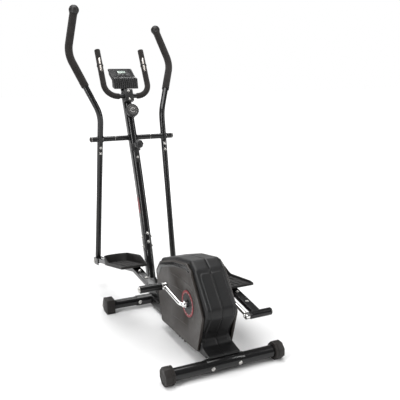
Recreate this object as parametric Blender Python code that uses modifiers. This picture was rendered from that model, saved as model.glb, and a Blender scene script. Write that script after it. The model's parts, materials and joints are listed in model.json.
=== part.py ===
"""Rear-drive elliptical trainer with moving handlebar levers, a fixed U handlebar and a console.

Metres, +Z up. The user stands facing +Y, so the drive housing is at the low-Y end and the post at the
high-Y end. X is the user's right. The last step centres the model over the origin, standing on Z = 0.
"""

import math

import bmesh
import bpy
from mathutils import Matrix, Vector

# ---- fits ---------------------------------------------------------------------------------------------
GAP = 0.0003            # between faces that touch on the real machine
RUN = 0.0008            # between faces that turn past each other
BUTTON_GAP = 0.0005     # round the console buttons
PAST = 0.010            # how far a cutter runs past the face it starts from
TUBE_RESOLUTION = 4     # of a bent tube's round section, which then has TUBE_SIDES sides
TUBE_SIDES = 4 + 2 * TUBE_RESOLUTION

# ---- stabilisers and base bar -------------------------------------------------------------------------
CAP_APOTHEM = 0.039     # half the height of an end cap, so also the height of the stabiliser axes
CAP_LENGTH = 0.044
CAP_END = 0.006         # closed end of a cap
CAP_SIDES = 8
REAR_TUBE_R = 0.0275
REAR_HALF = 0.282       # half length of the rear tube
FRONT_TUBE_R = 0.025
FRONT_HALF = 0.276
FRONT_Y = 0.839         # front stabiliser, measured from the rear one
FRONT_CAP_WIDE = 0.066  # its flat foot, along Y
FORK_LENGTH = 0.021     # the prongs beside the transport wheel stand this far past the foot
FORK_LOW = 0.016
FORK_HIGH = 0.044
CAP_ROUND = 0.006
BAR_WIDTH = 0.056
BAR_HEIGHT = 0.045
BAR_BOTTOM = 0.014
SADDLE_THICK = 0.0035   # half sleeves welded to the bar that hold the stabilisers
SADDLE_PAST = 0.004     # how far they reach past the tube's middle
SADDLE_UP = 0.018       # height above the tube's axis up to which they stay open
REAR_SADDLE_HALF = 0.090
FRONT_SADDLE_HALF = 0.108
GUSSET_HALF = 0.020
GUSSET_SINK = 0.004     # how deep welded pieces run into the bar
GUSSET_TOP = 0.150
WHEEL_R = 0.021
WHEEL_WIDTH = 0.016
WHEEL_LIFT = 0.004      # clear of the floor until the machine is tipped
WHEEL_AHEAD = 0.007     # between the wheel and the tube

# ---- post: its centre line is a parabola y(z) ---------------------------------------------------------
POST_FOOT_Y = FRONT_Y + 0.011
POST_LEAN = 0.210       # slope of the centre line at the floor
POST_BOW = 0.0987       # and how the slope grows
POST_WIDTH = 0.044
POST_DEPTH = 0.060
POST_CORNER = 0.018
POST_JOINT_Z = 0.300
POST_TOP_Z = 1.160
POST_TOP_Y = POST_FOOT_Y + POST_LEAN * POST_TOP_Z + POST_BOW * POST_TOP_Z ** 2

# ---- swing levers -------------------------------------------------------------------------------------
AXLE_Z = POST_TOP_Z - 0.250
AXLE_R = 0.0095
AXLE_HALF = 0.2385
CROSS_R = 0.0145        # cross tube and lever sleeves
CROSS_HALF = 0.1045
LEVER_X = 0.190
LEVER_R = 0.0163
LEVER_SPLIT = 0.026     # the lower lever starts this far below the axle
LEVER_LOWER = AXLE_Z - 0.133     # axle to the pedal arm's pivot
LEVER_STRAIGHT = 0.139
LEVER_BEND = (0.142, 0.158, 0.442)      # outboard, forward, up from the axle
LEVER_TIP = (0.096, 0.216, 0.642)
LEVER_BEND_R = 0.16
LEVER_EYE_R = 0.0165
LEVER_EYE_HALF = 0.0165
FOAM_R = 0.0212
FOAM_START = 0.46       # share of the bent-out run that is bare tube
BALL_R = 0.0275

# ---- crank and drive ----------------------------------------------------------------------------------
CRANK_Y = 0.191
CRANK_Z = 0.256
CRANK_R = 0.155
CRANK_ANGLE = math.radians(16.5)        # left crank above the forward horizontal
CRANK_BAR_R = 0.0085
CRANK_HUB_X = 0.097
CRANK_BEND_X = 0.1185
CRANK_EYE_X = (0.1280, 0.1450)
CRANK_BEND_R = 0.022
CRANK_EYE_R = 0.0155
COLLAR_R = 0.016
COLLAR_LENGTH = 0.010
SPINDLE_R = 0.010
BEARING_R = 0.017
BEARING_WIDTH = 0.010
SHELL_R = 0.021
SHELL_X = (-0.034, 0.010)
UPRIGHT_X = (-0.028, 0.006)     # the upright that carries the crank shell
UPRIGHT_HALF = 0.016    # along Y, also of the flywheel bracket's sides
PULLEY_R = 0.105
PULLEY_X = (0.016, 0.030)
PULLEY_SMALL_R = 0.016
WINDOWS = 6
WINDOW_OUT = 0.62       # of the pulley's radius
WINDOW_R = 0.19
FLYWHEEL_Y = 0.418
FLYWHEEL_Z = 0.212
FLYWHEEL_R = 0.110
FLYWHEEL_X = (-0.038, -0.014)
FLY_AXLE_R = 0.006
BELT_THICK = 0.002
BELT_CLEAR = GAP + 0.0003       # between the belt and its pulleys
BELT_SIDE = 0.002       # of the pulley left bare on each side of the belt
BRACKET_X = (-0.050, 0.042)
BRACKET_PLATE = 0.004
BRACKET_FLOOR = 0.030   # half length of the plate on the bar
BRACKET_OVER = 0.014    # the bracket's sides above the flywheel axle
MAGNET_GAP = 0.003
MAGNET_THICK = 0.010
MAGNET_MIDDLE = math.radians(100.0)     # round the flywheel, from forward
MAGNET_SIDE = 0.002     # how far the shoe stands past the flywheel's sides
FLY_AXLE_END = 0.006    # past the brackets
MAGNET_SPAN = math.radians(80.0)

# ---- pedal arms, measured from the lever end along the line to the crank pin and square to it ---------
ARM_LENGTH = FRONT_Y + 0.121
ARM_WIDTH = 0.036
ARM_HEIGHT = 0.026
SLOPE_WIDTH = 0.041     # the flat box section that runs down to the pin sleeve
SLOPE_HEIGHT = 0.022
ARM_FRONT = (0.035, 0.0105)
ARM_KNEE = (0.735, 0.054)
SLEEVE_R = 0.0175
SLEEVE_X = (0.1515, 0.2590)
PIN_R = 0.008
PIN_HEAD_R = 0.013
HEAD_THICK = 0.007
HEAD_SINK = 0.001       # how far a shank runs into its head
FORK_PLATE = 0.005
FORK_SPAN = (-0.075, 0.016, -0.016, 0.026)      # of a fork plate: rear, front, low, high
FORK_WEB = (-0.071, -0.040, -0.004, 0.022)      # of the block between the plates
TRAY_INNER = CRANK_EYE_X[1] + 0.0015    # the crank turns past the tray's inner edge
TRAY_OUTER = 0.282
TRAY_WIDTH = TRAY_OUTER - TRAY_INNER
TRAY_X = (TRAY_OUTER + TRAY_INNER) / 2
TRAY_LENGTH = 0.330
TRAY_HEEL = 0.006       # height of the rim at the rear edge
TRAY_HIGH = 0.34        # share of the straight sides where the rim reaches its full height
TRAY_NOSE = 0.045       # how far the curved front stands past its corners
TRAY_FLOOR = 0.006
TRAY_RIM = 0.044
TRAY_OPEN = 0.78        # share of the straight sides along which the outer rim stays low
TRAY_CORNER = 0.35      # share of the nose by which it has risen to the full height
TRAY_OUTER_RIM = 0.012
TRAY_STEP = 0.025       # width of the outer side that is cut down
TRAY_WALL = 0.0045
TRAY_REAR = 0.775       # rear edge, along the arm

# ---- housing: outlines in (Y, Z) ----------------------------------------------------------------------
HOUSE_HALF = 0.075
HOUSE_WALL = 0.0025
HOUSE_FRONT = 0.592     # furthest forward point
HOUSE_FLOOR = BAR_BOTTOM + BAR_HEIGHT + 0.0015
HOUSE_SEAT = CAP_APOTHEM + REAR_TUBE_R + SADDLE_THICK + 0.0015
HOUSE_STEP = REAR_TUBE_R + SADDLE_THICK + 0.002
HOUSE_OUTLINE = ((0.556, HOUSE_FLOOR), (HOUSE_FRONT, 0.300), (0.532, 0.372), (0.350, 0.428), (0.188, 0.456),
                 (0.140, 0.425), (0.018, 0.280), (0.018, 0.245), (0.084, 0.135), (0.066, 0.098),
                 (-0.004, 0.084), (-0.008, HOUSE_SEAT), (HOUSE_STEP, HOUSE_SEAT), (HOUSE_STEP, HOUSE_FLOOR))
HOUSE_ROUND = 0.012
SPINDLE_ROOM = 0.004    # between the spindle and the housing's hole
SLOT_ROOM = 0.002       # between the drive brackets and the slot in the floor of the housing
SLOT_PAST = (0.020, 0.034)      # behind the crank, and ahead of the flywheel axle
GUSSET_RUN = min(0.175, POST_FOOT_Y - HOUSE_FRONT - 0.015)       # along the bar, behind the post
PANEL_THICK = 0.012
PANEL_OUTLINE = ((0.508, 0.050), (0.570, 0.300), (0.518, 0.357), (0.360, 0.407), (0.205, 0.436),
                 (0.155, 0.415), (0.056, 0.280), (0.036, 0.245), (0.092, 0.064))
PANEL_ROUND = 0.014
PANEL_HOLE_R = 0.021

# ---- U handlebar, clamp and console -------------------------------------------------------------------
BAR_Z = POST_TOP_Z - 0.034           # height of the clamped stretch
UBAR_R = 0.0125
UBAR_HALF = 0.131
UBAR_RISE = 0.292
UBAR_LEAN = math.radians(28.0)
UBAR_BEND_R = 0.075
UBAR_SINK = 0.004       # how deep the bar lies in its seat on the post
UBAR_FOAM_R = 0.0165
UBAR_FOAM_X = 0.052     # the foam starts this far from the middle
SENSOR_UP = (0.146, 0.238)      # along the rise
SENSOR_THICK = 0.0012
CLAMP_WIDTH = 0.050
CLAMP_HEIGHT = 0.068
CLAMP_DEPTH = 0.020
CONSOLE_HALF = 0.070
CONSOLE_TOP = (POST_TOP_Y + 0.0916, POST_TOP_Z + 0.136)
CONSOLE_CHIN = (POST_TOP_Y + 0.0166, POST_TOP_Z + 0.086)
CONSOLE_LIP = (POST_TOP_Y - 0.0184, POST_TOP_Z + 0.080)
CONSOLE_FOOT = (POST_TOP_Y - 0.0304, POST_TOP_Z + 0.020)
CONSOLE_DEPTH = 0.024
LENS_SIZE = (0.046, 0.022)
LENS_UP = 0.052         # from the chin, along the face
BUTTON_R = 0.0050
BUTTON_X = (-0.026, 0.0, 0.026)
BUTTON_UP = 0.024
BUTTON_STAND = 0.0016
BUTTON_DEEP = 0.004
LENS_DEEP = 0.002
CONSOLE_BACK = 1.2      # depth of the back cover at its middle, in console depths
NECK_WIDTH = 0.036
NECK_THICK = 0.004
NECK_ROOT = 0.010       # in front of the post's centre line
CONSOLE_SEAT = 0.006    # the bracket's foot starts this far in from the post's rear face
BRACKET_UP = 0.45       # share of the console's face height where the bracket meets its back

# ---- knobs on the post --------------------------------------------------------------------------------
DIAL_Z = POST_TOP_Z - 0.122
DIAL_R = 0.0375
DIAL_STAND = 0.050      # knob face to the post's rear face
DIAL_THICK = 0.022
LOCK_Z = AXLE_Z - 0.058
LOCK_R = 0.0250
LOCK_STAND = 0.078
LOCK_THICK = 0.030
SADDLE_WALL = 0.003
DIAL_BASE = (0.026, 0.016)      # half height of the saddle, and radius of its neck
LOCK_BASE = (0.020, 0.012)
LOCK_TAIL = 0.090       # strap below the lock knob
DIAL_DOME = 0.004
LOCK_DOME = 0.014

# ---- scene set-up and materials -----------------------------------------------------------------------
def clear_scene():
    for item in list(bpy.data.objects):
        bpy.data.objects.remove(item, do_unlink=True)


def collection(name):
    group = bpy.data.collections.new(name)
    bpy.context.scene.collection.children.link(group)
    return group


def material(name, colour, roughness, metallic=0.0):
    surface = bpy.data.materials.new(name)
    surface.use_nodes = True
    shader = surface.node_tree.nodes["Principled BSDF"]
    shader.inputs["Base Color"].default_value = (*colour, 1.0)
    shader.inputs["Roughness"].default_value = roughness
    shader.inputs["Metallic"].default_value = metallic
    return surface


clear_scene()
PARTS = collection("elliptical_trainer")
TOOLS = collection("cutters")
BLACK_PAINT = material("black_paint", (0.012, 0.012, 0.013), 0.28)
BLACK_PLASTIC = material("black_plastic", (0.016, 0.016, 0.017), 0.50)
CAP_PLASTIC = material("cap_plastic", (0.030, 0.024, 0.020), 0.55)
GREY_PANEL = material("grey_panel", (0.070, 0.062, 0.056), 0.45)
FOAM = material("foam", (0.022, 0.020, 0.020), 0.85)
CHROME = material("chrome", (0.80, 0.80, 0.80), 0.08, 1.0)
ZINC = material("zinc", (0.62, 0.62, 0.60), 0.30, 1.0)
STEEL = material("steel", (0.45, 0.45, 0.46), 0.35, 1.0)
IRON = material("iron", (0.08, 0.08, 0.085), 0.50, 0.8)
TREAD = material("tread", (0.060, 0.055, 0.052), 0.65)
BELT_RUBBER = material("belt_rubber", (0.018, 0.018, 0.018), 0.80)
LCD = material("lcd", (0.42, 0.50, 0.44), 0.20)


# ---- making and joining pieces ------------------------------------------------------------------------
def put(name, mesh, surface, parent=None, frame=Matrix.Identity(4), group=None):
    """One object of a mesh, in its parent's frame."""
    item = bpy.data.objects.new(name, mesh)
    (group or PARTS).objects.link(item)
    if surface:
        mesh.materials.clear()
        mesh.materials.append(surface)
    item.parent = parent
    item.matrix_basis = frame
    return item


def empty(name, location, tilt=0.0, parent=None):
    """A joint's place; tilt turns it about X."""
    item = bpy.data.objects.new(name, None)
    item.empty_display_size = 0.05
    PARTS.objects.link(item)
    item.parent = parent
    item.location = location
    item.rotation_euler = (tilt, 0.0, 0.0)
    return item


def from_bmesh(name, shape):
    bmesh.ops.recalc_face_normals(shape, faces=shape.faces)
    mesh = bpy.data.meshes.new(name)
    shape.to_mesh(mesh)
    shape.free()
    return mesh


def box(name, low, high, surface=None, parent=None, frame=Matrix.Identity(4), bevel=0.0, group=None):
    """A block between two corners of its frame."""
    shape = bmesh.new()
    bmesh.ops.create_cube(shape, size=1.0)
    low, high = Vector(low), Vector(high)
    bmesh.ops.scale(shape, vec=high - low, verts=shape.verts)
    bmesh.ops.translate(shape, vec=(high + low) / 2, verts=shape.verts)
    item = put(name, from_bmesh(name, shape), surface, parent, frame, group)
    if bevel:
        edge = item.modifiers.new("edge", "BEVEL")
        edge.width = bevel
        edge.segments = 2
    return item


def along(start, end):
    """A frame at start whose Z runs towards end."""
    start, end = Vector(start), Vector(end)
    turn = (end - start).to_track_quat("Z", "Y").to_matrix().to_4x4()
    return Matrix.Translation(start) @ turn


def rod(name, radius, start, end, surface=None, parent=None, sides=24, turn=0.0, group=None,
        frame=Matrix.Identity(4)):
    """A bar with flat ends between two points; turn sets where its first edge lies."""
    length = (Vector(end) - Vector(start)).length
    shape = bmesh.new()
    bmesh.ops.create_cone(shape, cap_ends=True, segments=sides, radius1=radius, radius2=radius,
                          depth=length)
    bmesh.ops.rotate(shape, matrix=Matrix.Rotation(turn, 3, "Z"), verts=shape.verts)
    bmesh.ops.translate(shape, vec=(0, 0, length / 2), verts=shape.verts)
    bmesh.ops.transform(shape, matrix=along(start, end), verts=shape.verts)
    return put(name, from_bmesh(name, shape), surface, parent, frame, group)


def turned(name, profile, start, towards, surface, parent=None, steps=24, frame=Matrix.Identity(4)):
    """A profile of (radius, height) points, top first, turned about the line start to towards."""
    mesh = bpy.data.meshes.new(name)
    edges = [(i, i + 1) for i in range(len(profile) - 1)]
    mesh.from_pydata([(r, 0.0, h) for r, h in profile], edges, [])
    item = put(name, mesh, surface, parent, frame @ along(start, towards))
    screw = item.modifiers.new("turn", "SCREW")
    screw.steps = steps
    screw.render_steps = steps
    screw.use_merge_vertices = True
    screw.merge_threshold = 0.00001
    return item


def curve_mesh(name, points, cyclic, flat, settings):
    """The welded mesh of a curve through points."""
    data = bpy.data.curves.new(name, "CURVE")
    data.dimensions = "2D" if flat else "3D"
    for key, value in settings.items():
        setattr(data, key, value)
    spline = data.splines.new("POLY")
    spline.points.add(len(points) - 1)
    for spot, point in zip(spline.points, points):
        spot.co = (*point, 0.0, 1.0) if flat else (*point, 1.0)
    spline.use_cyclic_u = cyclic
    item = bpy.data.objects.new(name, data)
    TOOLS.objects.link(item)
    graph = bpy.context.evaluated_depsgraph_get()
    mesh = bpy.data.meshes.new_from_object(item.evaluated_get(graph))
    bpy.data.objects.remove(item, do_unlink=True)
    shape = bmesh.new()
    shape.from_mesh(mesh)
    bmesh.ops.remove_doubles(shape, verts=shape.verts, dist=0.00002)
    if flat:
        bmesh.ops.dissolve_limit(shape, angle_limit=0.001, verts=shape.verts, edges=shape.edges)
    bmesh.ops.recalc_face_normals(shape, faces=shape.faces)
    shape.to_mesh(mesh)
    shape.free()
    return mesh


def tube(name, path, radius, surface=None, parent=None, resolution=TUBE_RESOLUTION, group=None,
         frame=Matrix.Identity(4)):
    """A solid bar of round section along a path."""
    settings = {"bevel_depth": radius, "bevel_resolution": resolution, "use_fill_caps": True}
    mesh = curve_mesh(name, path, False, False, settings)
    return put(name, mesh, surface, parent, frame, group)


def sleeve(name, path, radius, wall, surface, parent=None, resolution=TUBE_RESOLUTION,
           frame=Matrix.Identity(4)):
    """A hollow tube along a path, open at both ends."""
    settings = {"bevel_depth": radius, "bevel_resolution": resolution}
    mesh = curve_mesh(name, path, False, False, settings)
    item = put(name, mesh, surface, parent, frame)
    skin = item.modifiers.new("wall", "SOLIDIFY")
    skin.thickness = wall
    skin.offset = -1.0
    return item


def around(radius):
    """Inner radius of a faceted sleeve that clears a faceted bar, however the two are turned."""
    return (radius + GAP) / math.cos(math.pi / TUBE_SIDES)


ACROSS = Matrix(((0, 0, 1, 0), (1, 0, 0, 0), (0, 1, 0, 0), (0, 0, 0, 1)))     # outline (Y, Z), thickness X


def plate(name, outline, low, high, surface=None, parent=None, frame=Matrix.Identity(4), group=None):
    """A flat outline in (Y, Z) with its faces at X = low and X = high."""
    settings = {"fill_mode": "BOTH", "extrude": (high - low) / 2}
    mesh = curve_mesh(name, outline, True, True, settings)
    mesh.transform(Matrix.Translation(((high + low) / 2, 0, 0)) @ ACROSS)
    return put(name, mesh, surface, parent, frame, group)


def combine(item, tool, operation):
    """Joins a tool to a piece, or cuts it away, with both in the same parent's frame."""
    for group in list(tool.users_collection):
        group.objects.unlink(tool)
    TOOLS.objects.link(tool)
    tool.hide_render = True
    tool.display_type = "WIRE"
    step = item.modifiers.new(tool.name, "BOOLEAN")
    step.operation = operation
    step.object = tool
    step.solver = "EXACT"


def join(item, *tools):
    for tool in tools:
        combine(item, tool, "UNION")
    return item


def cut(item, *tools):
    for tool in tools:
        combine(item, tool, "DIFFERENCE")
    return item


# ---- geometry -----------------------------------------------------------------------------------------
def fillet(points, radius, steps=4, closed=False):
    """The points with each corner replaced by an arc that two corners on one side can share."""
    points = [Vector(p) for p in points]
    count = len(points)
    out = []
    for i, here in enumerate(points):
        if not closed and i in (0, count - 1):
            out.append(here)
            continue
        before = points[i - 1] - here
        after = points[(i + 1) % count] - here
        half = before.angle(after) / 2
        first_share = 0.49 if closed or i > 1 else 0.98
        last_share = 0.49 if closed or i < count - 2 else 0.98
        back = min(radius / math.tan(half), first_share * before.length, last_share * after.length)
        arc_r = back * math.tan(half)
        middle = (before.normalized() + after.normalized()).normalized()
        centre = here + middle * (arc_r / math.sin(half))
        first = (here + before.normalized() * back - centre).normalized()
        last = (here + after.normalized() * back - centre).normalized()
        for k in range(steps + 1):
            out.append(centre + first.slerp(last, k / steps) * arc_r)
    return out


def fillet_flat(points, radius, steps=3):
    """The same for a closed outline of pairs."""
    return [(p.x, p.y) for p in fillet([(*q, 0.0) for q in points], radius, steps, True)]


def inset(points, depth):
    """A closed outline moved inwards by depth; the outline runs either way round."""
    count = len(points)
    area = sum(points[i - 1][0] * points[i][1] - points[i][0] * points[i - 1][1] for i in range(count))
    side = 1.0 if area > 0 else -1.0
    out = []
    for i in range(count):
        a, b, c = Vector(points[i - 1]), Vector(points[i]), Vector(points[(i + 1) % count])
        one = (b - a).normalized()
        two = (c - b).normalized()
        n_one = Vector((-one.y, one.x)) * side
        n_two = Vector((-two.y, two.x)) * side
        middle = (n_one + n_two).normalized()
        out.append(tuple(b + middle * (depth / max(middle.dot(n_one), 0.3))))
    return out


def ring_points(centre, radius, start, end, steps):
    """Points on an arc in (Y, Z)."""
    return [(centre[0] + radius * math.cos(start + (end - start) * k / steps),
             centre[1] + radius * math.sin(start + (end - start) * k / steps)) for k in range(steps + 1)]


def post_y(z):
    return POST_FOOT_Y + POST_LEAN * z + POST_BOW * z * z


def post_frame(z):
    """A frame on the post's centre line: Y is forward and square to the post, Z runs up it."""
    lean = math.atan(POST_LEAN + 2 * POST_BOW * z)
    return Matrix.Translation((0, post_y(z), z)) @ Matrix.Rotation(-lean, 4, "X")


def post_outline(grow=0.0):
    """The post's section in its own frame."""
    w, d = POST_WIDTH / 2 + grow, POST_DEPTH / 2 + grow
    return fillet_flat(((-w, -d), (w, -d), (w, d), (-w, d)), POST_CORNER + grow, 4)


def post_stretch(name, low, high, steps, surface=None, grow=0.0, group=None):
    """A stretch of the post: the section carried along the centre line, cut square at both ends."""
    outline = post_outline(grow)
    shape = bmesh.new()
    rows = []
    for k in range(steps + 1):
        frame = post_frame(low + (high - low) * k / steps)
        rows.append([shape.verts.new(frame @ Vector((x, y, 0.0))) for x, y in outline])
    for lower, upper in zip(rows, rows[1:]):
        for i in range(len(outline)):
            shape.faces.new((lower[i - 1], lower[i], upper[i], upper[i - 1]))
    shape.faces.new(rows[0])
    shape.faces.new(rows[-1])
    return put(name, from_bmesh(name, shape), surface, group=group)


# ---- linkage: the lever angles follow from the crank and the arm length -------------------------------
AXLE_Y = post_y(AXLE_Z)


def crank_pin(side):
    """Centre of a crank pin in (Y, Z); side is -1 for the left."""
    turn = CRANK_ANGLE if side < 0 else CRANK_ANGLE + math.pi
    return Vector((CRANK_Y + CRANK_R * math.cos(turn), CRANK_Z + CRANK_R * math.sin(turn)))


def lever_angle(side):
    """Turn about +X from hanging straight down, with the lever end forward when positive."""
    to_pin = crank_pin(side) - Vector((AXLE_Y, AXLE_Z))
    reach = to_pin.length
    inner = math.acos((reach ** 2 + LEVER_LOWER ** 2 - ARM_LENGTH ** 2) / (2 * reach * LEVER_LOWER))
    return math.atan2(to_pin.x, -to_pin.y) + inner


def lever_end(side):
    turn = lever_angle(side)
    return Vector((AXLE_Y + LEVER_LOWER * math.sin(turn), AXLE_Z - LEVER_LOWER * math.cos(turn)))


def arm_angle(side):
    """Turn about +X that brings the arm's own frame, whose -Y points at the crank pin, into place."""
    run = crank_pin(side) - lever_end(side)
    return math.atan2(-run.y, -run.x)


def sided(side):
    return "left" if side < 0 else "right"


# ---- stabilisers --------------------------------------------------------------------------------------
def stabiliser(name, y, radius, half):
    return rod(name, radius, (-half, y, CAP_APOTHEM), (half, y, CAP_APOTHEM), BLACK_PAINT)


def rear_cap(side):
    """A faceted cup that turns on the tube's end to level the machine."""
    hub = empty(f"rear_cap_{sided(side)}_axis", (side * (REAR_HALF + GAP), 0.0, CAP_APOTHEM))
    corner = CAP_APOTHEM / math.cos(math.pi / CAP_SIDES)
    outer = side * CAP_END
    inner = side * (CAP_END - CAP_LENGTH)
    cup = rod(f"rear_leveling_cap_{sided(side)}", corner, (inner, 0, 0), (outer, 0, 0), CAP_PLASTIC, hub,
              CAP_SIDES, math.pi / CAP_SIDES)
    return cut(cup, rod("rear_cap_bore", REAR_TUBE_R + GAP, (inner * 1.5, 0, 0), (0, 0, 0), None, hub))


def front_cap(side):
    """A square cup with a flat foot and, in front, a fork for the transport wheel."""
    half = FRONT_CAP_WIDE / 2
    tip = FRONT_Y + half + FORK_LENGTH
    bore_end = side * (FRONT_HALF + GAP)
    end = bore_end + side * CAP_END
    start = end - side * CAP_LENGTH
    outline = ((FRONT_Y - half, 0.0), (FRONT_Y + half, 0.0), (tip, FORK_LOW), (tip, FORK_HIGH),
               (FRONT_Y + half, 2 * CAP_APOTHEM), (FRONT_Y - half, 2 * CAP_APOTHEM))
    cup = plate(f"front_end_cap_{sided(side)}", fillet_flat(outline, CAP_ROUND, 2), min(start, end),
                max(start, end), CAP_PLASTIC)
    bore = rod("front_cap_bore", FRONT_TUBE_R + GAP, (start - side * PAST, FRONT_Y, CAP_APOTHEM),
               (bore_end, FRONT_Y, CAP_APOTHEM))
    room = WHEEL_WIDTH / 2 + RUN
    slot_low = (side * wheel_x() - room, wheel_y() - WHEEL_R - 0.003, -PAST)
    slot = box("wheel_slot", slot_low, (side * wheel_x() + room, tip + PAST, 2 * CAP_APOTHEM))
    return cut(cup, bore, slot)


def wheel_y():
    return FRONT_Y + FRONT_TUBE_R + WHEEL_AHEAD + WHEEL_R


def wheel_x():
    return FRONT_HALF + GAP + CAP_END - CAP_LENGTH / 2


def transport_wheel(side):
    """Clear of the floor by a few millimetres until the machine is tipped forward."""
    hub = empty(f"transport_wheel_{sided(side)}_axis", (side * wheel_x(), wheel_y(), WHEEL_R + WHEEL_LIFT))
    half = WHEEL_WIDTH / 2
    return rod(f"transport_wheel_{sided(side)}", WHEEL_R, (-half, 0, 0), (half, 0, 0), BLACK_PLASTIC, hub)


# ---- frame and post -----------------------------------------------------------------------------------
def base_frame():
    """Base bar, post stub, crank shell and flywheel bracket, welded in one."""
    half = BAR_WIDTH / 2
    top = BAR_BOTTOM + BAR_HEIGHT
    frame = box("base_frame", (-half, 0.0, BAR_BOTTOM), (half, FRONT_Y, top), BLACK_PAINT)
    stub = post_stretch("post_stub", top + 0.002, POST_JOINT_Z - GAP, 3)
    gusset = ((FRONT_Y - GUSSET_RUN, top - GUSSET_SINK), (post_y(top), top - GUSSET_SINK),
              (post_y(GUSSET_TOP), GUSSET_TOP), (post_y(GUSSET_TOP) - POST_DEPTH / 2, GUSSET_TOP))
    join(frame, plate("post_gusset", gusset, -GUSSET_HALF, GUSSET_HALF))
    shell = rod("crank_shell", SHELL_R, (SHELL_X[0], CRANK_Y, CRANK_Z), (SHELL_X[1], CRANK_Y, CRANK_Z))
    upright = box("shell_upright", (UPRIGHT_X[0], CRANK_Y - UPRIGHT_HALF, top - GUSSET_SINK),
                  (UPRIGHT_X[1], CRANK_Y + UPRIGHT_HALF, CRANK_Z - SPINDLE_R))
    bracket_low = (BRACKET_X[0] - BRACKET_PLATE, FLYWHEEL_Y - BRACKET_FLOOR, top - BRACKET_PLATE)
    bracket_high = (BRACKET_X[1] + BRACKET_PLATE, FLYWHEEL_Y + BRACKET_FLOOR, top + BRACKET_PLATE)
    floor = box("bracket_floor", bracket_low, bracket_high)
    join(frame, stub, shell, upright, floor)
    for x in (BRACKET_X[0] - BRACKET_PLATE, BRACKET_X[1]):
        join(frame, box("bracket_side", (x, FLYWHEEL_Y - UPRIGHT_HALF, top),
                        (x + BRACKET_PLATE, FLYWHEEL_Y + UPRIGHT_HALF, FLYWHEEL_Z + BRACKET_OVER)))
    for y, radius, reach, away in ((0.0, REAR_TUBE_R, REAR_SADDLE_HALF, -1),
                                   (FRONT_Y, FRONT_TUBE_R, FRONT_SADDLE_HALF, 1)):
        join(frame, saddle_sleeve(y, radius + SADDLE_THICK, reach, away))
        cut(frame, rod("stabiliser_bore", radius + GAP, (-reach - 0.01, y, CAP_APOTHEM),
                       (reach + 0.01, y, CAP_APOTHEM), sides=24))
    bore = rod("shell_bore", BEARING_R + GAP, (SHELL_X[0] - 0.01, CRANK_Y, CRANK_Z),
               (SHELL_X[1] + 0.01, CRANK_Y, CRANK_Z))
    axle = rod("bracket_bore", FLY_AXLE_R + GAP, (BRACKET_X[0] - 0.02, FLYWHEEL_Y, FLYWHEEL_Z),
               (BRACKET_X[1] + 0.02, FLYWHEEL_Y, FLYWHEEL_Z))
    return cut(frame, bore, axle)


def saddle_sleeve(y, radius, reach, away):
    """The half of a sleeve that faces the base bar; away is the side of the tube that stays open."""
    sleeve_half = rod("saddle", radius, (-reach, y, CAP_APOTHEM), (reach, y, CAP_APOTHEM))
    low, high = sorted((y + away * SADDLE_PAST, y + away * 2 * radius))
    return cut(sleeve_half, box("saddle_opening", (-1, low, -0.1), (1, high, CAP_APOTHEM + SADDLE_UP)))


def front_post():
    """The upper post with its cross tube, bored for the lever axle."""
    post = post_stretch("front_post", POST_JOINT_Z, POST_TOP_Z, 8, BLACK_PAINT)
    cross = rod("cross_tube", CROSS_R, (-CROSS_HALF, AXLE_Y, AXLE_Z), (CROSS_HALF, AXLE_Y, AXLE_Z))
    bore = rod("cross_bore", AXLE_R + GAP, (-CROSS_HALF - 0.01, AXLE_Y, AXLE_Z),
               (CROSS_HALF + 0.01, AXLE_Y, AXLE_Z))
    join(post, cross)
    seat = rod("bar_seat", UBAR_R + RUN, *bar_line(POST_WIDTH))
    return cut(post, bore, seat)


def bar_frame():
    """Where the clamped stretch of the U handlebar lies, on the post's rear face."""
    frame = post_frame(BAR_Z)
    return frame @ Matrix.Translation((0, -(POST_DEPTH / 2 + UBAR_R - UBAR_SINK), 0))


def bar_line(half):
    middle = bar_frame().translation
    return middle - Vector((half, 0, 0)), middle + Vector((half, 0, 0))


def clamp_cover():
    """The cover that holds the U handlebar against the post."""
    frame = bar_frame()
    face = UBAR_R - UBAR_SINK - GAP
    half = CLAMP_HEIGHT / 2
    cover = box("clamp_cover", (-CLAMP_WIDTH / 2, -CLAMP_DEPTH, -half), (CLAMP_WIDTH / 2, face, half),
                BLACK_PLASTIC, frame=frame)
    return cut(cover, rod("cover_channel", UBAR_R + RUN, *bar_line(CLAMP_WIDTH)))


# ---- housing ------------------------------------------------------------------------------------------
def housing(side):
    """One half of the drive housing: a shell open towards the other half."""
    outline = fillet_flat(HOUSE_OUTLINE, HOUSE_ROUND, 2)
    name = f"housing_{sided(side)}"
    split, wall = side * GAP / 2, side * HOUSE_HALF
    shell = plate(name, outline, min(split, wall), max(split, wall), BLACK_PLASTIC)
    inner = side * (HOUSE_HALF - HOUSE_WALL)
    beyond = -side * 0.02
    room = fillet_flat(inset(HOUSE_OUTLINE, HOUSE_WALL), HOUSE_ROUND - HOUSE_WALL, 2)
    hollow = plate("housing_hollow", room, min(inner, beyond), max(inner, beyond))
    hole = rod("housing_hole", SPINDLE_R + SPINDLE_ROOM, (side * 0.05, CRANK_Y, CRANK_Z),
               (side * 0.10, CRANK_Y, CRANK_Z))
    slot_half = max(-BRACKET_X[0], BRACKET_X[1]) + BRACKET_PLATE + SLOT_ROOM
    slot = box("frame_slot", (-slot_half, CRANK_Y - SLOT_PAST[0], HOUSE_FLOOR - 0.02),
               (slot_half, FLYWHEEL_Y + SLOT_PAST[1], HOUSE_FLOOR + 0.02))
    return cut(shell, hollow, hole, slot)


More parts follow.
